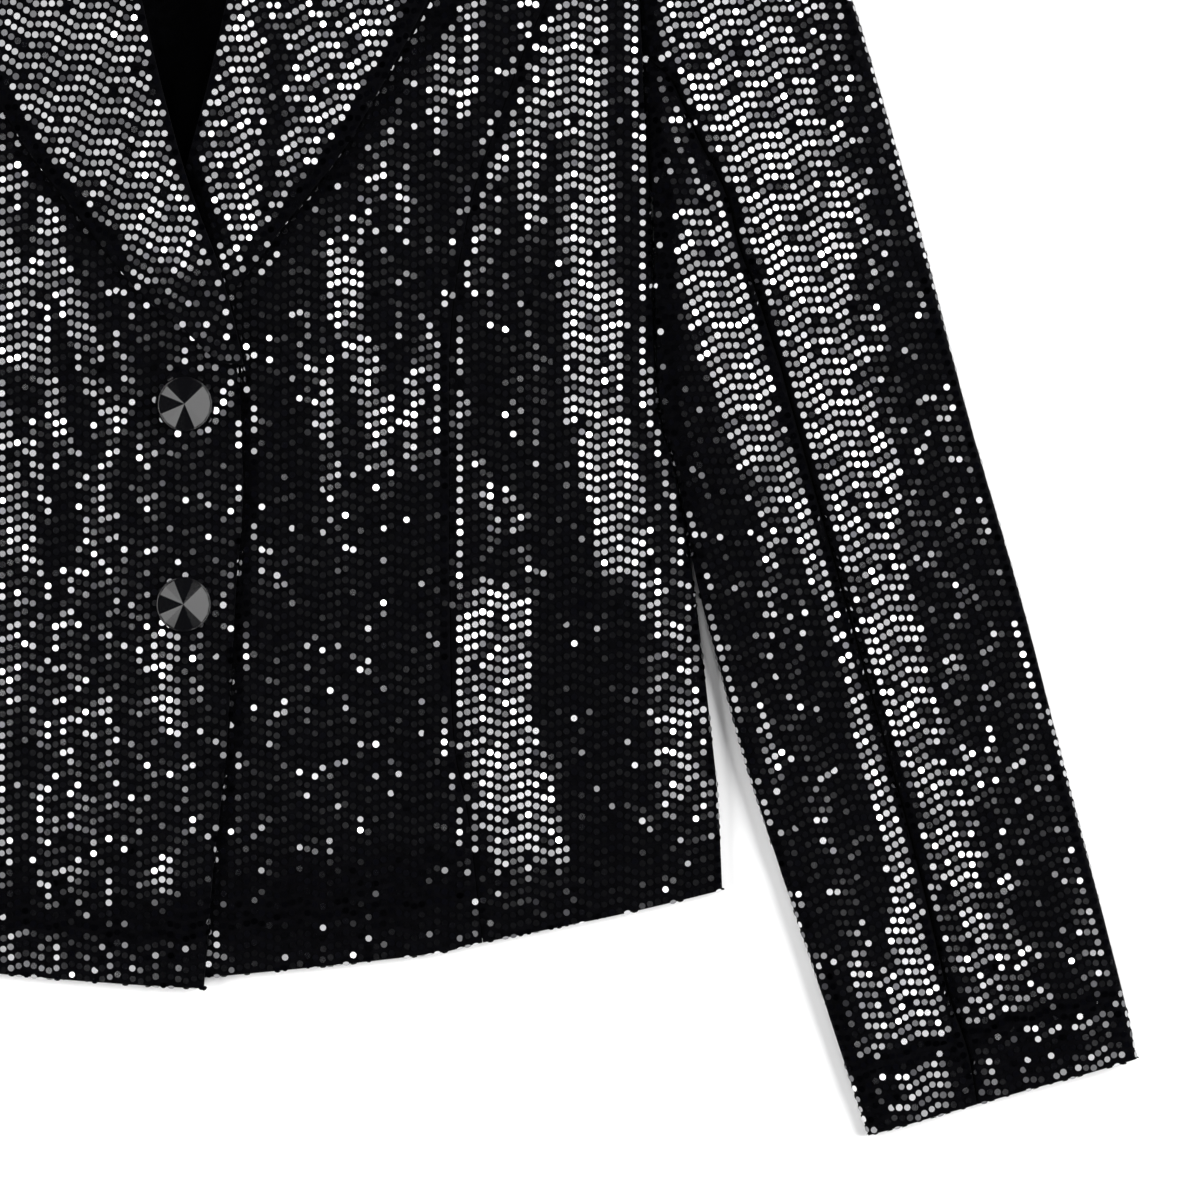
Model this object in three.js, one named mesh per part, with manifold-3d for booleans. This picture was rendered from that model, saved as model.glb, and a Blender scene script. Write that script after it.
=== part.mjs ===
// A short sequinned blazer laid flat on its back, buttoned, wearer's right front over the left.
// Millimetres. X runs across, Y runs from hem to neck, Z is up from the surface that it lies on.
// Heights along Y are counted from the hem at the centre front. X is counted from the centre front.
// A half of the garment is drawn on its own side, where X grows from the centre to the sleeve.
import * as THREE from "three";
import { mergeVertices } from "three/addons/utils/BufferGeometryUtils.js";
import Module from "manifold-3d";

// Cloth
const CLOTH = 1.5; // one layer of sequinned cloth
const DOUBLED = 2.2; // lapel or collar: cloth and facing, pressed together
const SEAM_GAP = 0.3; // between two pieces that are sewn together
const SEAM_TRIM = 0.18; // taken off each, a little over half the gap
const ARMHOLE_GAP = 0.9; // between the fronts or back and a sleeve, across
const COLOUR = 0x1b1b1d;
const SPARKLE = { color: COLOUR, roughness: 0.45, metalness: 0.3 };
const BUTTON_BLACK = { color: 0x050506, roughness: 0.08, metalness: 0 };

// Heights above the surface
const EDGE_HEIGHT = 6.2; // where front and back, or both sides of a sleeve, meet in a rounded edge
const EDGE_RADIUS = EDGE_HEIGHT / 2;
const BODY_RISE = 2.8; // the fronts stand this much higher in from the side
const BODY_RISE_WIDTH = 75;
const FAIR_WIDTH = 45; // to each side of the centre, where the two fronts share one surface
const SLEEVE_RISE = 5;
const SLEEVE_CROWN_POWER = 0.8; // below 1, the sleeve is flatter on top than a sine
const SLEEVE_OPENS = 0.16; // share of its length over which it rises from the armhole
const SHOULDER_MATCH = 0.4; // how much of the rise it has at the armhole
const HEM_HEIGHT = 3.9; // outer face of the front at its hem
const HEM_SLOPE = 22;
const CUFF_HEIGHT = 4.6;
const CUFF_SLOPE = 30;
const SLEEVE_LENGTH = 550;

// Half width of the body at the side seam, from the hem up to the underarm: x, y
const SIDE_SEAM = [
  [243.2, 41],
  [241.3, 82],
  [238.6, 109],
  [230, 182],
  [221.5, 232],
  [214.5, 258],
  [212, 300],
  [210.6, 356.8],
];
const UNDERARM = SIDE_SEAM[SIDE_SEAM.length - 1][1];
const SEAM_OPENS = { below: 12, above: 6 }; // near the underarm the side's round edge ends
// Armhole from the underarm to the shoulder point: x, y
const ARMHOLE = [
  [210.6, 356.8],
  [208.2, 386],
  [205.5, 445],
  [199.5, 500],
  [197.5, 530],
  [199, 559],
];
// Seam that shapes the front, from the hem to the armhole: x, y
const PRINCESS_SEAM = [
  [134.5, 17.2],
  [128, 75],
  [121.5, 110],
  [119.8, 175],
  [119.5, 241],
  [120.6, 300],
  [129.5, 354],
  [141, 388],
  [157, 430],
  [177, 470],
];
const PRINCESS_MEETS = 9; // station of the armhole where that seam ends
const SIDE_PIECE_TOP = 0.6; // share of the last step at which the side piece ends
// Front edge, then the line that the lapel rolls on, then the neck seam up to the shoulder: x, y
const FRONT_LINE = [
  [-8.2, -1.5],
  [-12.7, 50],
  [-18.6, 105],
  [-22.7, 173],
  [-26, 218],
  [-25.5, 241],
  [-23.2, 279.5],
  [-12.3, 323.6],
  [0.8, 360],
  [12.6, 402],
  [22.5, 445],
  [34.5, 500],
  [43, 532],
  [56, 565],
  [75, 596.7],
];
// Hem of the front on top and of the one under it, from the front edge to the side: x, y
const HEM_OVER = [
  [-8.2, -3.6],
  [17, -2.3],
  [62, 1],
  [100, 5],
  [134.5, 12.2],
  [197, 29],
  [243.2, 41],
];
const HEM_UNDER = [
  [-8.2, 0],
  [28.6, 3.2],
  [74, 7.7],
  [115, 12.7],
  [134.5, 17.2],
  [197, 30],
  [243.2, 41],
];
const HEM_BACK = [
  [-243.2, 41],
  [-134, 19],
  [0, 6],
  [134, 19],
  [243.2, 41],
];
// Neck seam of the back between the two shoulder seams, a parabola
const NECK_HALF = 75;
const NECK_HEIGHT = 596.7;
const NECK_DROP = 19;
const NECK_STEPS = 6;

// Sleeve laid down beside the body, its edge next to the body and its outer edge: x, y
const SLEEVE_INNER = [
  [211.8, 356.8],
  [213.8, 300],
  [216.2, 258],
  [223.4, 232],
  [232.2, 182],
  [244.5, 132],
  [256, 91],
  [283, 10],
  [309.5, -70.4],
];
const SLEEVE_OUTER = [
  [199, 559],
  [240, 541],
  [272, 509],
  [291, 474],
  [302, 445],
  [318, 392],
  [334, 336],
  [354.5, 257],
  [377.7, 177],
  [400.5, 89],
  [424, -2],
  [431, -34],
];
// Share of the width, from the inner edge, at the armhole and at the cuff
const FORE_SEAM = { armhole: 0.3, cuff: 0.4 };
const BACK_SEAM = { armhole: 0.6, cuff: 0.78 };
const SLEEVE_SEAM_GAP = 0.21; // from the seam line to either piece
const ARMHOLE_PULL_POWER = 6; // the higher, the sooner a sleeve leaves the armhole's curve
const SQUARE_WIDTH = 45; // so far in, a sleeve is laid out more and more along its rows
const UNDERARM_SQUEEZE = 0.15; // of its width is left to the round edge where it ends there

// Lapel: it rolls on the front line between these heights, its edge runs to the notch: x, y
const LAPEL_OVER_FOOT = 279.5;
const LAPEL_UNDER_FOOT = 328;
const LAPEL_TOP = 530;
const LAPEL_EDGE_OVER = [
  [-17.5, 277],
  [0.9, 295.4],
  [22.3, 313.6],
  [50, 349],
  [72, 377.2],
  [94.6, 415.9],
  [110.4, 445.4],
  [122, 468],
  [128, 484],
];
const LAPEL_EDGE_UNDER = [[16, 308], ...LAPEL_EDGE_OVER.slice(3)];
const GORGE = [
  [42.5, 530],
  [95, 497],
  [128, 484],
];
const ROLL_RADIUS = 3.3;
const ROLL_LIFT = 1.2; // the roll stands a little off the front
const ROLL_LIFT_WIDTH = 14;
const ROLL_SHOWS = { from: 375, to: 410 }; // heights over which the covered lapel gains that lift
const LAPEL_REACH = 8; // how far about a point the front is looked at, so that the lapel clears it
const LAPEL_CLEAR = 0.6; // between a front and the lapel or collar that lies on it

// Collar: leaf on each front, folded over the shoulder, and the stand behind the neck: x, y
const COLLAR_ROLL = [
  [42.9, 531],
  [50, 565],
  [56, 592],
  [62, 617],
];
const COLLAR_EDGE = [
  [96, 497.8],
  [115, 521],
  [113, 556],
  [107, 589],
];
const COLLAR_END = [
  [42.9, 531],
  [96, 497.8],
];
const COLLAR_FOLD = [
  [62, 617],
  [84, 609],
  [107, 589],
];
const COLLAR_SEAT = { x: 60, y: 585 }; // it lies level nearer the neck and above this
const STAND_ROLL = [
  [-66, 620],
  [-40, 612],
  [0, 607],
  [40, 612],
  [66, 620],
];
const STAND_SEAM = [
  [-76, 600.5],
  [-60, 592.5],
  [-30, 584],
  [0, 581],
  [30, 584],
  [60, 592.5],
  [76, 600.5],
];
const COLLAR_FOLD_RADIUS = 4;
// Section of the stand from its seam to its roll: share of the way, height of the top face
const STAND_SECTION = [
  [0, 1.5],
  [0.35, 3.4],
  [0.75, 5],
  [0.94, 4.2],
  [1, 2.4],
];

// How far the front on top is lifted by what lies under it
const LIFT_FRONT = 2.1;
const LIFT_LAPEL = 3.5;
const LAPEL_LIFT_FROM = 264;
const LAPEL_LIFT_TO = 288;
const OVERLAP_MARGIN = 8; // the lift stays full this far past the edge that lies under it
const LIFT_SLOPE = 14;

// Buttons, on the centre front
const BUTTON_DIAMETER = 25;
const BUTTON_HEIGHT = 6.6;
const BUTTON_RIM = 3.2; // height of the rim's widest place
const SHANK_RADIUS = 2.6;
const SHANK_HEIGHT = 2;
const BUTTON_SEAT = 0.3; // from the cloth to the shank
const BUTTON_SEAT_REACH = 8;
const BUTTON_FACETS = 16;
const BUTTONS = [
  { name: "button_upper", x: 0, y: 261.3 },
  { name: "button_lower", x: -0.6, y: 170.7 },
];

// Largest folds of the fronts, as soft ridges from one end to the other. side: 1 is the
// wearer's left, -1 the wearer's right. x is counted on that side.
const FRONT_FOLDS = [
  { side: -1, x1: 96, y1: 330, x2: 14, y2: 268, width: 13, height: 2.2 },
  { side: -1, x1: 110, y1: 235, x2: 16, y2: 256, width: 12, height: 2 },
  { side: -1, x1: 30, y1: 150, x2: 92, y2: 60, width: 20, height: 1.6 },
  { side: 1, x1: 72, y1: 345, x2: 98, y2: 235, width: 18, height: 1.8 },
  { side: 1, x1: 150, y1: 170, x2: 178, y2: 60, width: 18, height: 2.2 },
  { side: 1, x1: 168, y1: 400, x2: 158, y2: 250, width: 14, height: 1.6 },
  { side: -1, x1: 168, y1: 390, x2: 160, y2: 240, width: 14, height: 1.6 },
  { side: -1, x1: 150, y1: 160, x2: 182, y2: 55, width: 18, height: 2 },
];
// Largest folds of the sleeves: across is the share of the width from the inner edge, along
// is the share of the length from the armhole
const SLEEVE_FOLDS = [
  { side: 1, across: 0.42, along: 0.34, width: 0.1, length: 0.2, height: 1.8 },
  { side: 1, across: 0.62, along: 0.62, width: 0.12, length: 0.14, height: 1.6 },
  { side: 1, across: 0.36, along: 0.82, width: 0.1, length: 0.1, height: 1.4 },
  { side: -1, across: 0.45, along: 0.3, width: 0.11, length: 0.2, height: 1.8 },
  { side: -1, across: 0.6, along: 0.58, width: 0.12, length: 0.15, height: 1.6 },
  { side: -1, across: 0.38, along: 0.8, width: 0.1, length: 0.11, height: 1.4 },
];

// Steps along each seam
const FINE = 120; // for lines that heights are measured from
const BODY_STEPS = 24; // along the princess seam
const SIDE_STEPS = 15; // of these, along the side seam
const HEM_STEPS = 8;
const ARMHOLE_STEPS = 12;
const FRONT_COLUMNS = 11;
const SIDE_COLUMNS = 5;
const LAPEL_STEPS = 14;
const LAPEL_COLUMNS = 7;
const SLEEVE_STEPS = 18;
const BACK_COLUMNS = 5;
const COLLAR_STEPS = 6;
const COLLAR_COLUMNS = 4;
const STAND_COLUMNS = 12;
const CLOSER_POWER = 1.6; // above 1, columns crowd together near the front edge
const QUARTER = [60, 30, 0]; // degrees round an edge
const ROLL = [30, 60, 90]; // degrees round a roll or a fold

const { smoothstep, lerp } = THREE.MathUtils;
const step = (from, to, value) => smoothstep(value, from, to);

function curve(table) {
  return new THREE.SplineCurve(table.map(([x, y]) => new THREE.Vector2(x, y)));
}

// Points at even steps of length along a table's curve.
function stations(table, steps) {
  return curve(table).getSpacedPoints(steps);
}

// The x of a table's curve at a height y, for curves that only climb.
function acrossAt(points, y) {
  const next = points.findIndex((point) => point.y >= y);
  if (next < 0) return points[points.length - 1].x;
  if (next === 0) return points[0].x;
  const [low, high] = [points[next - 1], points[next]];
  return lerp(low.x, high.x, (y - low.y) / (high.y - low.y));
}

// The part of a climbing line of points between two heights.
function between(points, low, high) {
  const ends = [low, high].map((y) => new THREE.Vector2(acrossAt(points, y), y));
  const inner = points.filter((point) => point.y > low + 1 && point.y < high - 1);
  return [ends[0], ...inner, ends[1]];
}

const princess = [...PRINCESS_SEAM, stations(ARMHOLE, ARMHOLE_STEPS)[PRINCESS_MEETS].toArray()];
const princessStations = stations(princess, BODY_STEPS);
const armholeStations = stations(ARMHOLE, ARMHOLE_STEPS);
const sideStations = stations(SIDE_SEAM, SIDE_STEPS);
const sideLine = [...stations(SIDE_SEAM, FINE), ...stations(ARMHOLE, FINE).slice(1)];
const frontLine = stations(FRONT_LINE, FINE);
const hemLines = { 1: stations(HEM_UNDER, FINE), [-1]: stations(HEM_OVER, FINE) };

function hemAt(side, x) {
  const line = hemLines[side].map(({ x: across, y }) => ({ x: y, y: across }));
  return acrossAt(line, x);
}

// Distance from a point to a fold's line, and how far along it, as a soft ridge.
function ridge(fold, x, y) {
  const along = new THREE.Vector2(fold.x2 - fold.x1, fold.y2 - fold.y1);
  const length = along.length();
  along.normalize();
  const reach = (x - fold.x1) * along.x + (y - fold.y1) * along.y;
  const off = (y - fold.y1) * along.x - (x - fold.x1) * along.y;
  const fadeIn = step(-0.15 * length, 0.3 * length, reach);
  const ends = fadeIn * (1 - step(0.7 * length, 1.15 * length, reach));
  return fold.height * ends * Math.exp(-((off / fold.width) ** 2));
}

// Outer face of a front, without what lies under it. Its edge at the side seam is rounded.
function frontFace(side, x, y) {
  const inFromSide = acrossAt(sideLine, y) - x;
  const rise = BODY_RISE * step(0, BODY_RISE_WIDTH, inFromSide);
  const folds = FRONT_FOLDS.filter((fold) => fold.side === side);
  const ridges = folds.reduce((sum, fold) => sum + ridge(fold, x, y), 0);
  const full = EDGE_HEIGHT + rise + ridges * step(2, 30, inFromSide);
  return lerp(HEM_HEIGHT, full, step(0, HEM_SLOPE, y - hemAt(side, x)));
}

// Both fronts share one surface near the centre, so that the upper one lies on the lower one.
function fairFace(side, x, y) {
  const mix = step(-FAIR_WIDTH, FAIR_WIDTH, x);
  const here = frontFace(side, Math.abs(x), y);
  const there = frontFace(-side, Math.abs(x), y);
  return lerp(Math.max(here, there), here, mix);
}

function underFace(x, y) {
  return fairFace(1, x, y);
}

// The front on top is lifted by the edge, and higher up by the lapel, of the front under it.
function overFace(x, y) {
  const edge = acrossAt(frontLine, Math.min(y, LAPEL_TOP));
  const overlap = 1 - step(OVERLAP_MARGIN - edge, OVERLAP_MARGIN - edge + LIFT_SLOPE, x);
  const lapel = overlap * step(LAPEL_LIFT_FROM, LAPEL_LIFT_TO, y);
  const plain = Math.max(fairFace(-1, x, y), fairFace(1, -x, y));
  return plain + LIFT_FRONT * overlap + LIFT_LAPEL * lapel;
}

// A grid between four lines of points, by the Coons formula: the mean of the surface ruled
// across and the one ruled along, less the flat one through the corners.
function coons(left, right, bottom, top, columns) {
  return left.map((start, j) => {
    const v = j / (left.length - 1);
    const end = right[j];
    const width = start.distanceTo(end);
    return columns(width).map((u) => {
      const ruled = start.clone().lerp(end, u);
      const low = bottom.getPoint(u).sub(bottom.getPoint(0).lerp(bottom.getPoint(1), u));
      const high = top.getPoint(u).sub(top.getPoint(0).lerp(top.getPoint(1), u));
      return ruled.add(low.multiplyScalar(1 - v)).add(high.multiplyScalar(v));
    });
  });
}

// Shares of a width at even steps, or closer together near its start.
const shares = (count) => Array.from({ length: count + 1 }, (_, i) => i / count);
const even = (count) => () => shares(count);
const closer = (count) => () => shares(count).map((share) => share ** CLOSER_POWER);

// Columns that end in a quarter round of the edge radius at the far side.
function roundedEnd(count) {
  return (width) => {
    const flat = Math.max(0.2, 1 - EDGE_RADIUS / width);
    const plain = shares(count).map((share) => flat * share);
    const reach = 1 - flat;
    const bend = QUARTER.map((angle) => flat + reach * Math.cos(THREE.MathUtils.degToRad(angle)));
    return [...plain, ...bend];
  };
}

// How much an edge drops at a distance from its rim, along a quarter of a circle.
function edgeDrop(distance) {
  const inside = Math.min(Math.max(EDGE_RADIUS - distance, 0), EDGE_RADIUS);
  return EDGE_RADIUS - Math.sqrt(EDGE_RADIUS ** 2 - inside ** 2);
}

// Moves the rim of a grid inwards by half the seam gap.
function trimmed(rows) {
  const last = rows.length - 1;
  const pull = (point, towards) => {
    const way = towards.clone().sub(point);
    return point.clone().add(way.setLength(SEAM_TRIM));
  };
  const across = rows.map((row) => {
    const end = row.length - 1;
    return row.map((point, i) => {
      if (i === 0) return pull(point, row[1]);
      return i === end ? pull(point, row[end - 1]) : point.clone();
    });
  });
  return across.map((row, j) =>
    row.map((point, i) => {
      if (j === 0) return pull(point, across[1][i]);
      return j === last ? pull(point, across[last - 1][i]) : point;
    }),
  );
}

// Outward direction at a point of a grid. The first row takes that of the second, because
// at an underarm the grid's two directions run together.
function gridNormal(rows, rowIndex, i) {
  const j = Math.max(rowIndex, 1);
  const row = rows[j];
  const across = row[Math.min(i + 1, row.length - 1)].clone().sub(row[Math.max(i - 1, 0)]);
  const along = rows[Math.min(j + 1, rows.length - 1)][i].clone().sub(rows[Math.max(j - 1, 0)][i]);
  return across.cross(along).normalize();
}

// A closed wall of cloth: its outer points are the grid, its inner ones lie a thickness inside.
function wallGeometry(rows, thickness, side) {
  const inner = rows.map((row, j) =>
    row.map((point, i) => {
      const inside = point.clone().addScaledVector(gridNormal(rows, j, i), -thickness);
      return inside.setZ(Math.max(inside.z, SEAM_GAP));
    }),
  );
  return shellGeometry(rows, inner, side);
}

// The highest that a face comes near a point, so that what lies on it clears its bends.
function highest(face, x, y, reach) {
  const around = [-1, 0, 1].flatMap((i) => [-1, 0, 1].map((j) => face(x + i * reach, y + j * reach)));
  return Math.max(...around);
}

// A closed body between an outer and an inner grid of the same size.
function shellGeometry(rows, innerRows, side) {
  const columns = rows[0].length;
  const count = rows.length * columns;
  const outer = rows.flat();
  const inner = innerRows.flat();
  const faces = [];
  const quad = (a, b, c, d) => faces.push(a, b, c, a, c, d);
  const at = (j, i) => j * columns + i;
  for (let j = 0; j < rows.length - 1; j += 1) {
    for (let i = 0; i < columns - 1; i += 1) {
      quad(at(j, i), at(j, i + 1), at(j + 1, i + 1), at(j + 1, i));
      quad(count + at(j, i), count + at(j + 1, i), count + at(j + 1, i + 1), count + at(j, i + 1));
    }
  }
  const rim = [
    ...Array.from({ length: columns - 1 }, (_, i) => at(0, i)),
    ...Array.from({ length: rows.length - 1 }, (_, j) => at(j, columns - 1)),
    ...Array.from({ length: columns - 1 }, (_, i) => at(rows.length - 1, columns - 1 - i)),
    ...Array.from({ length: rows.length - 1 }, (_, j) => at(rows.length - 1 - j, 0)),
  ];
  rim.forEach((from, k) => {
    const to = rim[(k + 1) % rim.length];
    quad(from, from + count, to + count, to);
  });
  if (side < 0) {
    for (let k = 0; k < faces.length; k += 3) [faces[k + 1], faces[k + 2]] = [faces[k + 2], faces[k + 1]];
  }
  const points = [...outer, ...inner].flatMap(({ x, y, z }) => [side * x, y, z]);
  const geometry = new THREE.BufferGeometry();
  geometry.setAttribute("position", new THREE.Float32BufferAttribute(points, 3));
  geometry.setIndex(faces);
  return geometry;
}

function piece(name, geometry, finish) {
  const mesh = new THREE.Mesh(geometry, new THREE.MeshStandardMaterial({ ...finish, flatShading: true }));
  mesh.name = name;
  return mesh;
}

const lifted = (rows, height) =>
  rows.map((row) => row.map(({ x, y }) => new THREE.Vector3(x, y, height(x, y))));

const faceOf = (side) => (side > 0 ? underFace : overFace);

// The stretch of a hem between two values of x, as a curve.
function hemStretch(side, from, to) {
  const points = shares(HEM_STEPS).map((share) => {
    const x = lerp(from, to, share);
    return new THREE.Vector2(x, hemAt(side, x));
  });
  return new THREE.SplineCurve(points);
}

// Front between the front edge and the princess seam, up to the shoulder seam.
function frontCentre(side) {
  const hemStart = FRONT_LINE[0][0];
  const seam = princessStations.map((point) => point.clone());
  seam[0].y = hemAt(side, seam[0].x);
  const right = [...seam, ...armholeStations.slice(PRINCESS_MEETS + 1)];
  const left = stations(FRONT_LINE, right.length - 1);
  left[0].y = hemAt(side, hemStart);
  const bottom = hemStretch(side, hemStart, seam[0].x);
  const top = new THREE.LineCurve(left[left.length - 1], right[right.length - 1]);
  const rows = trimmed(coons(left, right, bottom, top, closer(FRONT_COLUMNS)));
  return wallGeometry(lifted(rows, faceOf(side)), CLOTH, side);
}

// 1 below the underarm, where the body's side is a round edge, and 0 above it.
function sideSeamShare(y) {
  return step(UNDERARM + SEAM_OPENS.above, UNDERARM - SEAM_OPENS.below, y);
}

// Front between the princess seam and the side seam, up to where that seam meets the armhole.
function frontSide(side) {
  const last = princessStations.length - 1;
  const left = princessStations.map((point) => point.clone());
  left[0].y = hemAt(side, left[0].x);
  const right = [...sideStations, ...armholeStations.slice(1, PRINCESS_MEETS + 1)];
  const pairs = shares(last).map((share) => right[Math.round(share * (right.length - 1))]);
  left[last] = left[last - 1].clone().lerp(left[last], SIDE_PIECE_TOP);
  pairs[last] = pairs[last - 1].clone().lerp(pairs[last], SIDE_PIECE_TOP);
  const bottom = hemStretch(side, left[0].x, pairs[0].x);
  const top = new THREE.LineCurve(left[last], pairs[last]);
  const rows = trimmed(coons(left, pairs, bottom, top, roundedEnd(SIDE_COLUMNS)));
  const face = faceOf(side);
  const height = (x, y) => {
    const hem = face(x, y) / EDGE_HEIGHT;
    const drop = edgeDrop(acrossAt(sideLine, y) - x) * Math.min(1, hem);
    return face(x, y) - sideSeamShare(y) * (drop - SEAM_GAP / 2);
  };
  return wallGeometry(lifted(rows, height), CLOTH, side);
}

// Back, lying flat: its outer face is the underside, and its sides turn up in a quarter round.
function back() {
  const right = [...sideStations, ...armholeStations.slice(1)];
  const left = right.map(({ x, y }) => new THREE.Vector2(-x, y));
  const [shoulder] = right.slice(-1);
  const neck = shares(NECK_STEPS).map((share) => {
    const x = lerp(-NECK_HALF, NECK_HALF, share);
    return new THREE.Vector2(x, NECK_HEIGHT - NECK_DROP * (1 - (x / NECK_HALF) ** 2));
  });
  const top = polyline([new THREE.Vector2(-shoulder.x, shoulder.y), ...neck, shoulder]);
  const bottom = curve(HEM_BACK);
  const columns = (width) => {
    const outwards = roundedEnd(BACK_COLUMNS)(width / 2).slice(1);
    const near = outwards.map((u) => (1 - u) / 2).reverse();
    return [...near, 0.5, ...outwards.map((u) => (1 + u) / 2)];
  };
  const rows = trimmed(coons(left, right, bottom, top, columns));
  const height = (x, y) => {
    const drop = edgeDrop(acrossAt(sideLine, y) - Math.abs(x));
    return sideSeamShare(y) * Math.max(0, drop - SEAM_GAP / 2);
  };
  const under = lifted(rows, height).map((row) => row.reverse());
  return wallGeometry(under, CLOTH, 1);
}

// A curve through points along straight lines, by length.
function polyline(points) {
  const path = new THREE.CurvePath();
  points.slice(1).forEach((point, i) => path.add(new THREE.LineCurve(points[i], point)));
  return path;
}

// Outer face of a sleeve, at a share of its width from the inner edge and of its length.
function sleeveFace(side, across, along, width) {
  const open = step(0, SLEEVE_OPENS, along);
  const crown = Math.sin(Math.PI * Math.min(Math.max(across, 0), 1)) ** SLEEVE_CROWN_POWER;
  const folds = SLEEVE_FOLDS.filter((fold) => fold.side === side).reduce((sum, fold) => {
    const off = (across - fold.across) / fold.width;
    const far = (along - fold.along) / fold.length;
    return sum + fold.height * Math.exp(-(off ** 2) - far ** 2);
  }, 0);
  const end = step(0, CUFF_SLOPE / SLEEVE_LENGTH, 1 - along);
  const armhole = SHOULDER_MATCH * (1 - open);
  const full = EDGE_HEIGHT + crown * (SLEEVE_RISE * open + armhole) + folds * crown;
  const edge = Math.min(across, 1 - across) * width;
  return lerp(CUFF_HEIGHT, full, end) - edgeDrop(edge) * lerp(CUFF_HEIGHT / EDGE_HEIGHT, 1, end);
}

// Direction in plan, square to an edge of the sleeve, that points into it, as the other edge's
// end at the cuff lies from every point of this one.
function inward(edge, j, other) {
  const along = edge[Math.min(j + 1, edge.length - 1)].clone().sub(edge[Math.max(j - 1, 0)]);
  const across = new THREE.Vector2(-along.y, along.x).normalize();
  const towards = other[other.length - 1].clone().sub(edge[j]);
  return across.dot(towards) < 0 ? across.negate() : across;
}

// Sleeve piece between the seam on its face and the seam on its underside. The upper sleeve
// goes round the outer edge, the under sleeve round the edge beside the body.
function sleeve(side, byOuter) {
  const inner = stations(SLEEVE_INNER, SLEEVE_STEPS);
  const outer = stations(SLEEVE_OUTER, SLEEVE_STEPS);
  const armhole = curve(ARMHOLE);
  const rim = byOuter ? 1 : 0;
  const inwards = byOuter ? -1 : 1;
  const [edge, other] = byOuter ? [outer, inner] : [inner, outer];
  const counts = byOuter ? [6, 3] : [3, 5]; // columns on the face and on the underside
  const spread = (from, to, count) => shares(count).map((share) => lerp(from, to, share));
  const rows = inner.map((start, j) => {
    const along = j / SLEEVE_STEPS;
    const width = start.distanceTo(outer[j]);
    const bend = EDGE_RADIUS / width;
    const shift = (-inwards * SLEEVE_SEAM_GAP) / width;
    const from = lerp(FORE_SEAM.armhole, FORE_SEAM.cuff, along) + shift;
    const to = lerp(BACK_SEAM.armhole, BACK_SEAM.cuff, along) + shift;
    const quarter = QUARTER.map((angle) => bend * (1 - Math.cos(THREE.MathUtils.degToRad(angle))));
    const toRim = quarter.map((share) => rim + inwards * share);
    const near = rim + inwards * bend;
    const square = inward(edge, j, other);
    const squareWidth = j === 0 ? EDGE_RADIUS * 1.01 : SQUARE_WIDTH;
    const squeeze = j === 0 && !byOuter ? UNDERARM_SQUEEZE : 1;
    const place = (share, z) => {
      const depth = Math.abs(share - rim) * width;
      const straight = inner[0].clone().lerp(outer[0], share);
      const pull = armhole.getPointAt(share).sub(straight);
      const plain = start.clone().lerp(outer[j], share);
      plain.addScaledVector(pull, (1 - along) ** ARMHOLE_PULL_POWER);
      const laid = edge[j].clone().addScaledVector(square, depth * squeeze);
      const { x, y } = laid.lerp(plain, step(EDGE_RADIUS, squareWidth, depth));
      return new THREE.Vector3(x, y, z);
    };
    const upper = [...spread(from, near, counts[0]), ...toRim];
    const lower = [...toRim.slice(0, -1).reverse(), ...spread(near, to, counts[1])];
    const ring = [
      ...upper.map((share) => place(share, sleeveFace(side, share, along, width))),
      ...lower.map((share) => place(share, edgeDrop(Math.min(share, 1 - share) * width))),
    ];
    if (j === 0) ring.forEach((point) => (point.x += ARMHOLE_GAP));
    return ring;
  });
  const facing = byOuter ? rows.map((row) => row.reverse()) : rows;
  return wallGeometry(facing, CLOTH, side);
}

// Rows bent down over a rim: each row gets points round a quarter circle, outside its first
// point, and one more at the height where the cloth ends.
function withRoll(rows, radius, endHeight) {
  return rows.map((row) => {
    const out = row[0].clone().sub(row[1]).setZ(0).normalize();
    const round = [...ROLL].reverse().map((angle) => {
      const turn = THREE.MathUtils.degToRad(angle);
      const point = row[0].clone().addScaledVector(out, radius * Math.sin(turn));
      point.z -= radius * (1 - Math.cos(turn));
      return point;
    });
    const end = round[0].clone().setZ(endHeight(row[0]));
    return [end, ...round, ...row];
  });
}

// Lapel turned back on its front, from the roll line to its edge.
function lapel(side) {
  const foot = side > 0 ? LAPEL_UNDER_FOOT : LAPEL_OVER_FOOT;
  const edge = side > 0 ? LAPEL_EDGE_UNDER : LAPEL_EDGE_OVER;
  const face = faceOf(side);
  const left = new THREE.SplineCurve(between(frontLine, foot, LAPEL_TOP)).getSpacedPoints(LAPEL_STEPS);
  const right = stations(edge, LAPEL_STEPS);
  const bottom = new THREE.LineCurve(left[0], right[0]);
  const top = polyline(GORGE.map(([x, y]) => new THREE.Vector2(x, y)));
  const flat = trimmed(coons(left, right, bottom, top, closer(LAPEL_COLUMNS)));
  const height = (x, y) => {
    const fromRoll = x - acrossAt(frontLine, y);
    const shown = side > 0 ? step(ROLL_SHOWS.from, ROLL_SHOWS.to, y) : 1;
    const lift = ROLL_LIFT * shown * (1 - step(0, ROLL_LIFT_WIDTH, fromRoll));
    return highest(face, x, y, LAPEL_REACH) + LAPEL_CLEAR + DOUBLED + lift;
  };
  const rows = withRoll(lifted(flat, height), ROLL_RADIUS, ({ x, y }) => face(x, y) - CLOTH);
  return wallGeometry(rows, DOUBLED, side);
}

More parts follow.
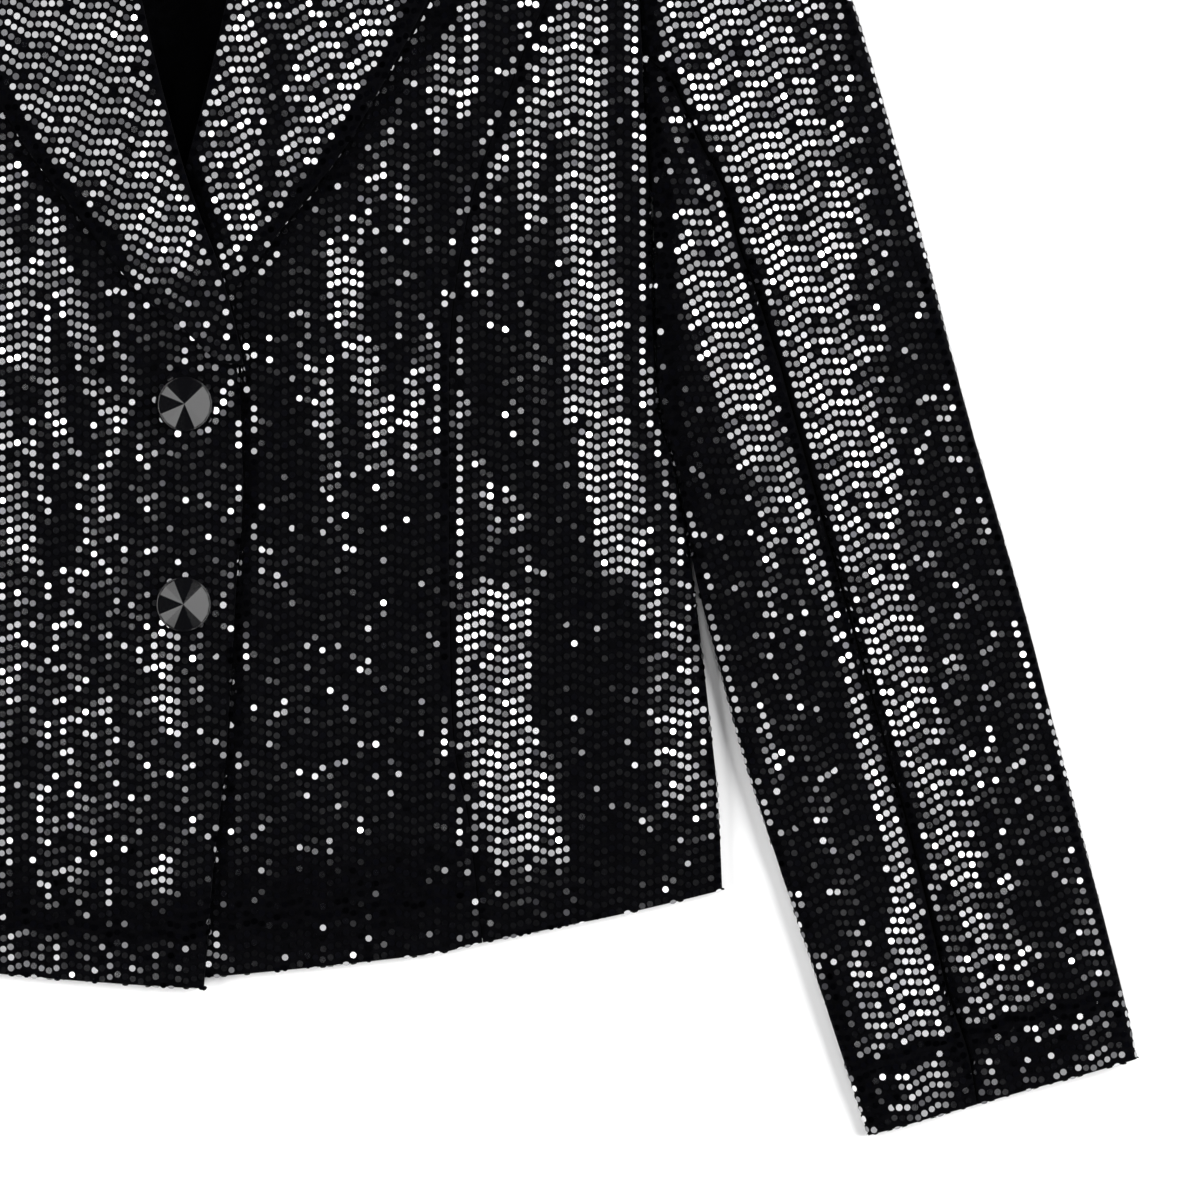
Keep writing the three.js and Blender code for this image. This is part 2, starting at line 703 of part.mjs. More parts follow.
// Half of the collar: its leaf lies on the front and folds down over the shoulder.
function collarLeaf(side) {
  const left = stations(COLLAR_ROLL, COLLAR_STEPS);
  const right = stations(COLLAR_EDGE, COLLAR_STEPS);
  const flat = trimmed(coons(left, right, curve(COLLAR_END), curve(COLLAR_FOLD), even(COLLAR_COLUMNS)));
  const face = faceOf(side);
  const seat = (x, y) => face(Math.max(x, COLLAR_SEAT.x), Math.min(y, COLLAR_SEAT.y));
  const height = (x, y) => seat(x, y) + LAPEL_CLEAR + DOUBLED;
  const rows = lifted(flat, height);
  const last = rows[rows.length - 1];
  const before = rows[rows.length - 2];
  const round = ROLL.map((angle) => {
    const turn = THREE.MathUtils.degToRad(angle);
    return last.map((point, i) => {
      const out = point.clone().sub(before[i]).setZ(0).normalize();
      const bent = point.clone().addScaledVector(out, COLLAR_FOLD_RADIUS * Math.sin(turn));
      bent.z -= COLLAR_FOLD_RADIUS * (1 - Math.cos(turn));
      return bent;
    });
  });
  const hem = round[2].map((point) => point.clone().setZ(SEAM_GAP));
  return wallGeometry([...rows, ...round, hem], DOUBLED, side);
}

// Stand behind the neck with the leaf folded under it, as one rounded body on the surface.
function collarStand() {
  const low = stations(STAND_SEAM, STAND_COLUMNS);
  const high = stations(STAND_ROLL, STAND_COLUMNS);
  const rows = STAND_SECTION.map(([share, height]) =>
    low.map((point, i) => {
      const { x, y } = point.clone().lerp(high[i], share);
      return new THREE.Vector3(x, y, height);
    }),
  );
  const ground = rows.map((row) => row.map((point) => point.clone().setZ(0)));
  return shellGeometry(rows, ground, 1);
}

function solidOf(wasm, geometry) {
  const plain = geometry.clone();
  const merged = mergeVertices(plain, 1e-4);
  const mesh = new wasm.Mesh({
    numProp: 3,
    vertProperties: merged.attributes.position.array,
    triVerts: new Uint32Array(merged.index.array),
  });
  return new wasm.Manifold(mesh);
}

function geometryOf(solid) {
  const { vertProperties, triVerts } = solid.getMesh();
  const geometry = new THREE.BufferGeometry();
  geometry.setAttribute("position", new THREE.BufferAttribute(vertProperties, 3));
  geometry.setIndex(new THREE.BufferAttribute(triVerts, 1));
  return geometry;
}

function collar(wasm) {
  const parts = [collarStand(), collarLeaf(1), collarLeaf(-1)].map((part) => solidOf(wasm, part));
  return geometryOf(parts[0].add(parts[1]).add(parts[2]));
}

// Round button with a shank: a low cone of flat facets inside a thin rounded rim.
function button() {
  const radius = BUTTON_DIAMETER / 2;
  const profile = [
    [0, 0],
    [SHANK_RADIUS, 0],
    [SHANK_RADIUS, SHANK_HEIGHT],
    [radius - 1, SHANK_HEIGHT],
    [radius, BUTTON_RIM - 0.6],
    [radius, BUTTON_RIM],
    [radius - 0.4, BUTTON_RIM + 0.5],
    [radius - 1.2, BUTTON_RIM + 0.4],
    [0, BUTTON_HEIGHT],
  ];
  const lathe = new THREE.LatheGeometry(
    profile.map(([x, y]) => new THREE.Vector2(x, y)),
    BUTTON_FACETS,
  );
  lathe.deleteAttribute("normal");
  lathe.deleteAttribute("uv");
  lathe.rotateX(Math.PI / 2);
  return mergeVertices(lathe, 1e-4);
}

const wasm = await Module();
wasm.setup();
const group = new THREE.Group();
group.add(piece("back", back(), SPARKLE));
[1, -1].forEach((side) => {
  const owner = side > 0 ? "left" : "right";
  group.add(piece(`${owner}_front_centre`, frontCentre(side), SPARKLE));
  group.add(piece(`${owner}_front_side`, frontSide(side), SPARKLE));
  group.add(piece(`${owner}_lapel`, lapel(side), SPARKLE));
  group.add(piece(`${owner}_sleeve_top`, sleeve(side, true), SPARKLE));
  group.add(piece(`${owner}_sleeve_under`, sleeve(side, false), SPARKLE));
});
group.add(piece("collar", collar(wasm), SPARKLE));
BUTTONS.forEach(({ name, x, y }) => {
  const mesh = piece(name, button(), BUTTON_BLACK);
  mesh.position.set(x, y, highest(overFace, -x, y, BUTTON_SEAT_REACH) + BUTTON_SEAT);
  group.add(mesh);
});

// The part's frame has its origin under the middle of the garment.
const box = new THREE.Box3().setFromObject(group);
const middle = box.getCenter(new THREE.Vector3());
group.position.set(-middle.x, -middle.y, -box.min.z);

export default group;
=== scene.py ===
# %% [markdown]
# A sequinned blazer, laid flat
#
# The garment lies on its back on a white table and the camera looks straight down, close enough
# that only the lower body, the lapels and one sleeve are in the picture. This lesson dresses the
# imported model: each solid is hidden behind a thin shell of cloth of the same form, and thousands
# of small mirror dots are laid on the shells in the rows of the real cloth.

# %% Load the frame
import math

import bpy
import numpy as np
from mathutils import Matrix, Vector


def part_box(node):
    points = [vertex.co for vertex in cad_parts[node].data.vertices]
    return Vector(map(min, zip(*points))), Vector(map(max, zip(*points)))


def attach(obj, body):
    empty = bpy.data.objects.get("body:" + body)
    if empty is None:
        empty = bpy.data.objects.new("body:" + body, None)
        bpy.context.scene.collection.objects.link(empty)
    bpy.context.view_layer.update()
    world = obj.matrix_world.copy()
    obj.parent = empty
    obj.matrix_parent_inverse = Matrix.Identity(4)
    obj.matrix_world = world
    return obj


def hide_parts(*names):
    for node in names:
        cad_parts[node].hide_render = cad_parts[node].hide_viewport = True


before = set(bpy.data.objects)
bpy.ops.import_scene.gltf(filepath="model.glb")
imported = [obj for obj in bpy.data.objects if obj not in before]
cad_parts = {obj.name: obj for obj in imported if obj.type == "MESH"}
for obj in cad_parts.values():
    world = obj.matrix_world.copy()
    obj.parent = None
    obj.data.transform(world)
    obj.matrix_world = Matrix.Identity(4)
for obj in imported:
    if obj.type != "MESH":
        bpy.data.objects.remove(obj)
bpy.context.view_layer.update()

print("nodes:", len(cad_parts))

# %% [markdown]
# Sizes are the garment's own, in millimetres. X is counted from the centre front and Y from the
# hem at the centre front, because a pattern cutter counts so. One shift, taken from the place of
# the upper button, brings them into the frame. A half is drawn on its own side, where X grows
# from the centre to the sleeve, and the other half is its mirror image.

# %% Units and the shift into the frame
MM = 0.001
BUTTON_UPPER = (0.0, 261.3)
button_box = np.array(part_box("button_upper"))
SHIFT_Y = button_box[:, 1].mean() / MM - BUTTON_UPPER[1]
LEFT, RIGHT = 1, -1
print("shift along Y, mm:", round(SHIFT_Y, 2))

# %% [markdown]
# The camera comes first. The photo is a square of 545 mm of the table, seen from straight above
# with almost no perspective, so the lens is long and the camera far off.

# %% Camera
FIELD = 545.4
LENS = 200.0
SENSOR = 36.0
AIM = (187.7, 172.7)
camera = bpy.data.cameras.new("camera")
camera.lens = LENS
camera.sensor_width = SENSOR
camera.clip_end = 20.0
eye = bpy.data.objects.new("camera", camera)
eye.location = (AIM[0] * MM, (AIM[1] + SHIFT_Y) * MM, FIELD * MM * LENS / SENSOR)
bpy.context.collection.objects.link(eye)
bpy.context.scene.camera = eye
print("camera height, m:", round(eye.location.z, 3))

# %% [markdown]
# The seams are short tables of x and y, in the order that they are sewn. A spline through the
# rows gives each its soft curve, and a seam is then read as x at a height y.

# %% Seam tables
SIDE_SEAM = [(243.2, 41), (241.3, 82), (238.6, 109), (230, 182), (221.5, 232), (214.5, 258),
             (212, 300), (210.6, 356.8)]
ARMHOLE = [(210.6, 356.8), (208.2, 386), (205.5, 445), (199.5, 500), (197.5, 530), (199, 559)]
PRINCESS = [(134.5, 17.2), (128, 75), (121.5, 110), (119.8, 175), (119.5, 241), (120.6, 300),
            (129.5, 354), (141, 388), (157, 430), (177, 470), (199, 504)]
FRONT_LINE = [(-8.2, -1.5), (-12.7, 50), (-18.6, 105), (-22.7, 173), (-26, 218), (-25.5, 241),
              (-23.2, 279.5), (-12.3, 323.6), (0.8, 360), (12.6, 402), (22.5, 445), (34.5, 500),
              (43, 532), (56, 565), (75, 596.7)]
HEM = {
    RIGHT: [(-8.2, -3.6), (17, -2.3), (62, 1), (100, 5), (134.5, 12.2), (197, 29), (243.2, 41)],
    LEFT: [(-8.2, 0), (28.6, 3.2), (74, 7.7), (115, 12.7), (134.5, 17.2), (197, 30), (243.2, 41)],
}
HEM_BACK = [(0, 6), (134, 19), (243.2, 41)]
NECK_HALF, NECK_HEIGHT, NECK_DROP = 75.0, 596.7, 19.0
SHOULDER_POINT = (199.0, 559.0)
LAPEL_EDGE = [(-17.5, 277), (0.9, 295.4), (22.3, 313.6), (50, 349), (72, 377.2), (94.6, 415.9),
              (110.4, 445.4), (122, 468), (128, 484)]
GORGE = [(42.5, 530), (95, 497), (128, 484)]
LAPEL_FOOT = {RIGHT: 279.5, LEFT: 312.0}
LAPEL_TOP = 484.0
COLLAR_ROLL = [(42.9, 531), (50, 565), (56, 592), (62, 617)]
COLLAR_EDGE = [(96, 497.8), (115, 521), (113, 556), (107, 589)]
COLLAR_FOLD = [(62, 617), (84, 609), (107, 589)]
COLLAR_END = np.array([(42.9, 531), (96, 497.8), (120, 497.8)])
SLEEVE_INNER = [(211.8, 356.8), (212.6, 300), (215, 258), (222.1, 232), (231.4, 182),
                (244.5, 132), (256, 91), (283, 10), (309.5, -70.4)]
SLEEVE_OUTER = [(199, 559), (240, 541), (272, 509), (291, 474), (302, 445), (318, 392), (334, 336),
                (354.5, 257), (377.7, 177), (400.5, 89), (424, -2), (431, -34)]
SLEEVE_SEAM = [(210.4, 418), (219.5, 409.5), (225.9, 396.8), (233.6, 379.5), (240.9, 366.3),
               (246.3, 353.1), (250.9, 333.6), (258.2, 314.1), (264.1, 295.9), (270.5, 276.4),
               (274.1, 262.7), (321.8, 90.9), (326.8, 72.7), (335.4, 38.6), (342.7, 6.8),
               (347.2, -10), (354.5, -30.9), (359, -55.5)]
SLEEVE_ANGLE = math.radians(16)
UNDERARM = (211.8, 356.8)


# %% Curves through a table
def spline(table, per_step=24):
    """Points of a Catmull-Rom curve through the rows of a table: in each step the curve leaves a
    row in the direction of the line between that row's two neighbours."""
    rows = np.array(table, float)
    padded = np.vstack([rows[:1], rows, rows[-1:]])
    p0, p1, p2, p3 = padded[:-3], padded[1:-2], padded[2:-1], padded[3:]
    t = np.linspace(0, 1, per_step, endpoint=False)[None, :, None]
    m1, m2 = (p2 - p0)[:, None] / 2, (p3 - p1)[:, None] / 2
    a, b = p1[:, None], p2[:, None]
    curve = ((2 * a - 2 * b + m1 + m2) * t**3 + (3 * b - 3 * a - 2 * m1 - m2) * t**2 + m1 * t + a)
    return np.vstack([curve.reshape(-1, 2), rows[-1:]])


def reader(table, by_y=True):
    """Turns a table into a function: x at a height y, or y at an x."""
    points = spline(table)
    key, value = (points[:, 1], points[:, 0]) if by_y else (points[:, 0], points[:, 1])
    order = np.argsort(key)
    return lambda at: np.interp(at, key[order], value[order])


def smooth(low, high, value):
    """An S-shaped step from 0 at low to 1 at high: 3 t squared less 2 t cubed."""
    t = np.clip((value - low) / (high - low), 0, 1)
    return t * t * (3 - 2 * t)


def climb(low, high, value):
    """A nearly straight slope from 0 at low to 1 at high: four parts of t and one of its S."""
    t = np.clip((value - low) / (high - low), 0, 1)
    return 0.8 * t + 0.2 * t * t * (3 - 2 * t)


def mix(a, b, share):
    return a + (b - a) * share


side_line = reader(SIDE_SEAM + ARMHOLE[1:])
princess_line = reader(PRINCESS)
front_line = reader(FRONT_LINE)
hem_line = {side: reader(HEM[side], by_y=False) for side in (LEFT, RIGHT)}
back_hem = reader(HEM_BACK, by_y=False)
lapel_edge = reader(LAPEL_EDGE)
print("half width at the underarm, mm:", round(float(side_line(356.8)), 1))


def shoulder_line(x):
    """Height of the shoulder seam, and behind the neck of the neck seam, at a distance x."""
    slope = (NECK_HEIGHT - SHOULDER_POINT[1]) / (SHOULDER_POINT[0] - NECK_HALF)
    outside = NECK_HEIGHT - slope * (np.abs(x) - NECK_HALF)
    neck = NECK_HEIGHT - NECK_DROP * (1 - (x / NECK_HALF) ** 2)
    return np.where(np.abs(x) < NECK_HALF, neck, outside)


# %% [markdown]
# Laid cloth is never flat. Its relief is a sum of soft ridges and troughs: each has two ends, a
# width and a height, and fades out at its ends. The rows are placed from the photo. On a
# cloth of mirrors they matter more than any colour, since a slope of a few degrees decides
# whether a patch shines or stays dark.

# %% Relief of the fronts
# side, x1, y1, x2, y2, width, height, in mm. A negative height is a trough.
FRONT_FOLDS = np.array([
    (RIGHT, 54, 332, 28, 260, 9, 1.7),
    (RIGHT, 70, 326, 51, 248, 7, 1.0),
    (RIGHT, 86, 280, 64, 194, 9, 1.6),
    (RIGHT, 74, 362, 82, 318, 7, 1.0),
    (RIGHT, 40, 272, 12, 252, 5, 0.7),
    (RIGHT, -7, 172, -5, 112, 12, 1.9),
    (RIGHT, -4, 86, -3, 58, 3, 0.5),
    (RIGHT, 6, 54, 0, 20, 8, 1.1),
    (RIGHT, 80, 112, 78, 24, 7, 1.0),
    (RIGHT, 150, 160, 182, 55, 16, 2.0),
    (RIGHT, 168, 390, 160, 240, 12, 1.5),
    (LEFT, 82, 350, 94, 244, 11, 1.4),
    (LEFT, 106, 312, 97, 226, 9, 0.9),
    (LEFT, 66, 282, 72, 240, 7, 0.6),
    (LEFT, 128, 455, 118, 380, 7, 1.3),
    (LEFT, 145, 400, 150, 330, 9, 1.2),
    (LEFT, 161, 446, 149, 366, 7, 1.2),
    (LEFT, 96, 386, 90, 340, 7, 0.8),
    (LEFT, 140, 240, 146, 190, 8, 0.7),
], float)
SLEEVE_FOLDS = np.array([
    (LEFT, 330, -78, 319, -38, 10, 2.2),
    (LEFT, 366, -70, 354, -28, 10, 2.0),
    (LEFT, 409, -52, 399, -10, 11, 2.2),
    (LEFT, 296, 6, 312, -26, 9, 1.2),
    (LEFT, 252, 128, 264, 84, 9, 0.8),
    (LEFT, 222, 384, 232, 352, 8, 1.3),
    (RIGHT, 258, 340, 288, 225, 12, 1.1),
    (RIGHT, 296, 245, 326, 140, 13, 1.1),
    (RIGHT, 325, 140, 350, 50, 12, 1.0),
    (RIGHT, 214, 350, 240, 310, 8, 1.2),
    (RIGHT, 334, -66, 326, -34, 8, 1.6),
    (RIGHT, 390, -50, 382, -14, 9, 1.8),
], float)


def ridges(table, side, x, y):
    """Sum of soft ridges: height times exp of minus the square of the distance from the ridge's
    line over its width, faded in and out along the line."""
    total = np.zeros_like(x)
    for _, x1, y1, x2, y2, width, height in table[table[:, 0] == side]:
        length = math.hypot(x2 - x1, y2 - y1)
        ux, uy = (x2 - x1) / length, (y2 - y1) / length
        along = ((x - x1) * ux + (y - y1) * uy) / length
        off = (y - y1) * ux - (x - x1) * uy
        fade = smooth(-0.2, 0.3, along) * (1 - smooth(0.7, 1.2, along))
        total += height * fade * np.exp(-((off / width) ** 2))
    return total


RIPPLES = np.random.default_rng(7).uniform(size=(14, 4))


def ripple(x, y, seed):
    """Small unevenness of laid stretch cloth: a sum of waves of 14 to 60 mm, most of them across
    the width, each about a thousandth as high as it is long."""
    total = np.zeros_like(x)
    for k, (u, v, w, q) in enumerate(RIPPLES):
        wave = 14 + 46 * u**1.5
        turn = (v - 0.5) * 1.1
        phase = 2 * math.pi * (w + 0.37 * seed * (k + 1))
        reach = (x * math.cos(turn) + y * math.sin(turn) * 0.5) / wave
        total += wave * 0.0009 * (0.5 + q) * np.sin(2 * math.pi * reach + phase)
    return total


# %% [markdown]
# One function gives the height of the outer face of a front: it rises from the side edge, drops
# to the hem, dips along each seam and carries the folds. The right front lies on the left one,
# so near the centre it takes the higher of the two faces and adds the cloth between them.

# %% Height of the fronts
EDGE_HEIGHT = 6.2
EDGE_RADIUS = EDGE_HEIGHT / 2
HEM_HEIGHT, HEM_SLOPE = 6.0, 58.0
HEM_TURNING = 21.0
HEM_STITCH, HEM_STITCH_WIDTH = 0.9, 3.0
# The cloth climbs in one slope beside the side seam above, and in another further in below. Each
# row is a height y, where the slope starts and ends in from the side, and how high it is.
UPPER_RISE = np.array([(215, 15, 43, 3.7), (430, 15, 43, 3.9), (600, 14, 70, 4.4)], float)
LOWER_RISE = np.array([
    (-10, 66, 116, 5.8),
    (60, 68, 114, 5.6),
    (125, 80, 114, 4.4),
    (175, 72, 108, 4.5),
], float)
RISE_CHANGES = (158, 204)
EDGE_RISE_UPPER, EDGE_RISE_LOWER = (7, 0.8), (28, 1.7)
RIPPLE_LOWER, RIPPLE_UPPER = 0.45, 1.5
# depth and width of the dip beside each lapel, at its foot and further up
LAPEL_DIP = {LEFT: ((1.7, 5.0), (3.8, 12.0)), RIGHT: ((1.8, 5.5), (2.0, 6.0))}
LAPEL_BORDER = 7.0
# a lapel's edge slants, so the distance square to it is this share of the distance across
EDGE_SQUARE = 0.75
FRONT_DIP, FRONT_DIP_WIDTH = 2.0, 6.0
FRONT_DIP_STARTS, FRONT_DIP_ENDS = (0, 40), (270, 300)
LIFT_FRONT, LIFT_SLOPE = 1.2, 120.0
LIFT_LAPEL = 3.2
LIFT_LAPEL_STARTS = (264, 288)
OVERLAP_START, OVERLAP_TOP = 5, 530
# across this strip at the centre one front's face passes into the other's
CENTRE = (-45, 45)
OVERLAP_FADE = 40.0
SEAM_DIP, SEAM_DIP_WIDTH = 1.3, 3.0
STITCH_DIP, STITCH_DIP_WIDTH = 0.4, 1.8
STITCH_IN = 8.0
SLEEVE_SEAM_DIP, SLEEVE_SEAM_WIDTH = 2.4, 1.7


def groove(distance, depth, width):
    """A dip along a sewn line, a bell curve across it."""
    return -depth * np.exp(-((distance / width) ** 2))


def front_face(side, x, y):
    """Height of a front's outer face in mm, without what lies under it."""
    from_side = side_line(y) - x
    upper = smooth(*RISE_CHANGES, y)
    uneven = mix(RIPPLE_LOWER, RIPPLE_UPPER, smooth(150, 260, y)) * mix(0.4, 1, smooth(15, 60, x))
    foot = LAPEL_FOOT[side]
    beside = EDGE_SQUARE * (x - lapel_edge(np.minimum(y, LAPEL_TOP)))
    lapel = smooth(foot, foot + 24, y)
    free = mix(1, smooth(-2, 12, beside), lapel) * smooth(0, 12, from_side)
    height = EDGE_HEIGHT + (ripple(x, y, side + 2) * uneven + ridges(FRONT_FOLDS, side, x, y)) * free
    for table, (strip, strip_rise), share in ((UPPER_RISE, EDGE_RISE_UPPER, upper),
                                              (LOWER_RISE, EDGE_RISE_LOWER, 1 - upper)):
        low, high, rise = (np.interp(y, table[:, 0], table[:, k]) for k in (1, 2, 3))
        slope = rise * climb(low, high, from_side) + strip_rise * climb(0, strip, from_side)
        height = height + slope * share
    depth, wide = (mix(*pair, smooth(foot + 20, foot + 120, y)) for pair in zip(*LAPEL_DIP[side]))
    dip = smooth(-LAPEL_BORDER, 0, beside) * (1 - climb(0, wide, beside))
    height = height - depth * dip * lapel * (1 - smooth(480, 500, y))
    from_princess = x - princess_line(y)
    height = height + groove(from_princess, SEAM_DIP, SEAM_DIP_WIDTH)
    stitch = groove(np.abs(x) - front_line(y) - STITCH_IN, STITCH_DIP, STITCH_DIP_WIDTH)
    height = height + stitch * (1 - lapel)
    from_hem = y - hem_line[side](x)
    height = height + groove(from_hem - HEM_TURNING, HEM_STITCH, HEM_STITCH_WIDTH)
    hemmed = mix(HEM_HEIGHT, height, smooth(0, HEM_SLOPE, from_hem))
    return mix(3.0, hemmed, smooth(0, 7, shoulder_line(x) - y))


def left_face(x, y):
    """The front underneath: near the centre the same face runs on across both halves."""
    other = front_face(RIGHT, np.abs(x), y)
    own = front_face(LEFT, np.abs(x), y)
    face = mix(np.maximum(own, other), own, smooth(*CENTRE, x))
    dip = 1 - climb(0, FRONT_DIP_WIDTH, x + front_line(y))
    return face - FRONT_DIP * dip * smooth(*FRONT_DIP_STARTS, y) * (1 - smooth(*FRONT_DIP_ENDS, y))


def right_face(x, y):
    """The front on top, lifted by the left front's edge and, higher up, by its lapel."""
    edge = -front_line(np.minimum(y, OVERLAP_TOP))
    overlap = 1 - smooth(edge + OVERLAP_START, edge + OVERLAP_START + LIFT_SLOPE, x)
    lapel = overlap * smooth(*LIFT_LAPEL_STARTS, y)
    right = front_face(RIGHT, np.abs(x), y)
    own = mix(np.maximum(right, front_face(LEFT, np.abs(x), y)), right, smooth(*CENTRE, x))
    raised = mix(np.maximum(own, left_face(-x, y)), own, smooth(edge, edge + OVERLAP_FADE, x))
    return raised + LIFT_FRONT * overlap + LIFT_LAPEL * lapel


FACE = {LEFT: left_face, RIGHT: right_face}
sample = FACE[LEFT](np.array([20.0, 120.0, 190.0]), np.array([200.0, 200.0, 300.0]))
print("front, height in mm at three places:", np.round(sample, 1))

# %% [markdown]
# A sleeve laid flat is a flattened tube. In the photo it climbs from the edge beside the body to
# a crest near the outer edge, so one side of it faces the light, and it turns over a tight round
# edge. Its seam is a deep crease.

# %% Height of the sleeves
# height b along the sleeve, width and height of the slope beyond the seam, then of the one before
# it, and the width of the climb beside the inner edge
SLEEVE_SLOPES = np.array([
    (-440, 46, 6.2, 30, 3.0, 8),
    (-370, 44, 6.0, 28, 2.7, 8),
    (-330, 38, 5.4, 14, 1.4, 4),
    (-220, 35, 5.1, 6, 0.7, 4),
    (-170, 38, 5.6, 12, 1.4, 6),
    (-120, 46, 6.8, 32, 3.9, 12),
    (-50, 56, 8.2, 36, 4.4, 13),
    (-10, 68, 9.8, 22, 2.8, 10),
    (60, 82, 11.4, 12, 1.0, 8),
], float)
INNER_RISE = 0.4
OUTER_FALL_WIDTH = 7.0
OUTER_FALL = 2.6
ARMHOLE_DIP, ARMHOLE_DIP_WIDTH = 2.6, 6.0
CUFF_TURNING = 30.0
CUFF_STITCH, CUFF_STITCH_WIDTH = 1.5, 2.6
CUFF_HEIGHT, CUFF_SLOPE = 4.8, 34.0
CUFF_KEEPS = 0.6


def turned(x, y):
    """From the garment's x and y to the sleeve's own: a across it, b towards the shoulder."""
    dx, dy = x - UNDERARM[0], y - UNDERARM[1]
    return (dx * math.cos(SLEEVE_ANGLE) + dy * math.sin(SLEEVE_ANGLE),
            dy * math.cos(SLEEVE_ANGLE) - dx * math.sin(SLEEVE_ANGLE))


def unturned(a, b):
    """Back from the sleeve's own a and b to the garment's x and y."""
    return (UNDERARM[0] + a * math.cos(SLEEVE_ANGLE) - b * math.sin(SLEEVE_ANGLE),
            UNDERARM[1] + a * math.sin(SLEEVE_ANGLE) + b * math.cos(SLEEVE_ANGLE))


def turned_reader(table):
    points = np.array(turned(*spline(table).T)).T
    order = np.argsort(points[:, 1])
    return lambda b: np.interp(b, points[order, 1], points[order, 0])


sleeve_near = turned_reader(SLEEVE_INNER)
armhole_near = turned_reader(ARMHOLE)
sleeve_far = turned_reader(SLEEVE_OUTER)
sleeve_seam = turned_reader(SLEEVE_SEAM)
CUFF_B = float(turned(*SLEEVE_INNER[-1])[1])
SEAM_TOP_B = float(turned(*SLEEVE_SEAM[0])[1])
SHOULDER_B = float(turned(*SHOULDER_POINT)[1])
print("sleeve from cuff to shoulder, mm:", round(SHOULDER_B - CUFF_B))


def sleeve_left(b):
    """Left edge of the sleeve: the armhole above the underarm, its inner edge below."""
    return np.where(b > 0, armhole_near(b), sleeve_near(b))


def sleeve_face(side, a, b):
    """Height of a sleeve's outer face: from the edge height it climbs to a crest and falls to the
    other edge, then come seam, stitching, folds and the flatter cuff."""
    near, far = sleeve_left(b), sleeve_far(b)
    seam = np.minimum(sleeve_seam(b), near + 60)
    width, rise, before, fall, inner_width = (np.interp(b, SLEEVE_SLOPES[:, 0], SLEEVE_SLOPES[:, k])
                                              for k in range(1, 6))
    open_up = 1 - smooth(60, SHOULDER_B, b)
    x, y = unturned(a, b)
    edge_fade = smooth(0, 8, np.minimum(a - near, far - a))
    height = EDGE_HEIGHT + rise * climb(0, width, a - seam) * (0.5 + 0.5 * open_up)
    inner = (INNER_RISE + fall) * climb(0, inner_width, a - near) - fall * climb(-before, 0, a - seam)
    height = height + (inner - INNER_RISE * (a > seam)) * smooth(SEAM_TOP_B + 20, SEAM_TOP_B - 20, b)
    height = height + groove(a - near, ARMHOLE_DIP, ARMHOLE_DIP_WIDTH) * smooth(-20, 30, b)
    height = height - OUTER_FALL * open_up * (1 - smooth(0, OUTER_FALL_WIDTH, far - a)) ** 2
    height = height + (ripple(x, y, side + 5) * 1.1 + ridges(SLEEVE_FOLDS, side, x, y)) * edge_fade
    under_seam = smooth(SEAM_TOP_B + 10, SEAM_TOP_B - 10, b)
    height = height + groove(a - sleeve_seam(b), SLEEVE_SEAM_DIP, SLEEVE_SEAM_WIDTH) * under_seam
    height = height + groove(b - CUFF_B - CUFF_TURNING, CUFF_STITCH, CUFF_STITCH_WIDTH) * edge_fade
    end = CUFF_HEIGHT + CUFF_KEEPS * (height - EDGE_HEIGHT)
    return mix(end, height, smooth(0, CUFF_SLOPE, b - CUFF_B))


# %% [markdown]
# Each piece of cloth is now described as its cut: a flat region in two lengths, l across and b
# along the grain. A rule rolls that region onto the form. Where the cloth turns round an edge, l
# goes on round an arc and then back along the underside, so cloth and dots keep their true
# spacing everywhere, and the flat size of each sheet can be measured from the same region.

# %% Rolling a cut onto its form
def roll(l, edge, radius, sign):
    """Turns a length l past an edge into a place across and a share of the height: an arc of
    half a turn about the edge, then back along the underside. sign is 1 for an edge on the right
    and -1 for one on the left."""
    over = np.maximum(sign * (l - edge), 0)
    angle = np.clip(over / radius, 0, math.pi)
    back = np.maximum(over - math.pi * radius, 0)
    across = np.where(over > 0, edge + sign * (radius * np.sin(angle) - back), l)
    return across, (1 + np.cos(angle)) / 2


FOLD_RADIUS = 1.4
FOLD_TURN = 0.75 * math.pi
FOLD_LENGTH = FOLD_RADIUS * (FOLD_TURN - 1)
BEND_REACH = 2.6 * FOLD_RADIUS


def fold(b, edge, sign=1):
    """Turns cloth over at a hem: past the line where the bend starts, b goes round an arc, y is
    the start less the radius times the sine and the drop is the radius less its cosine. sign is
    1 for a hem below and -1 for a fold above."""
    start = edge + sign * FOLD_RADIUS
    over = np.maximum(sign * (start - b), 0)
    angle = np.minimum(over / FOLD_RADIUS, FOLD_TURN)
    y = np.where(over > 0, start - sign * FOLD_RADIUS * np.sin(angle), b)
    return y, FOLD_RADIUS * (1 - np.cos(angle))


def front_side_edge(b):
    """Where a front starts to turn over at its side, and on what radius. Above the underarm the
    cloth runs on into the sleeve, so the radius dwindles."""
    radius = mix(EDGE_RADIUS, 0.3, smooth(348, 366, b))
    return side_line(b) - radius, radius


def place_front(side):
    def place(l, b):
        edge, radius = front_side_edge(b)
        near = front_line(b) + FOLD_RADIUS
        x, share = roll(l, edge, radius, 1)
        x, folded = roll(x, near, FOLD_RADIUS, -1)
        hem = hem_line[side](x)
        y, drop = fold(b, hem)
        face = FACE[side](np.clip(x, near, edge), np.maximum(y, hem + FOLD_RADIUS))
        return x, y, face * share - 2 * FOLD_RADIUS * (1 - folded) - drop * (2 * share - 1)
    return place


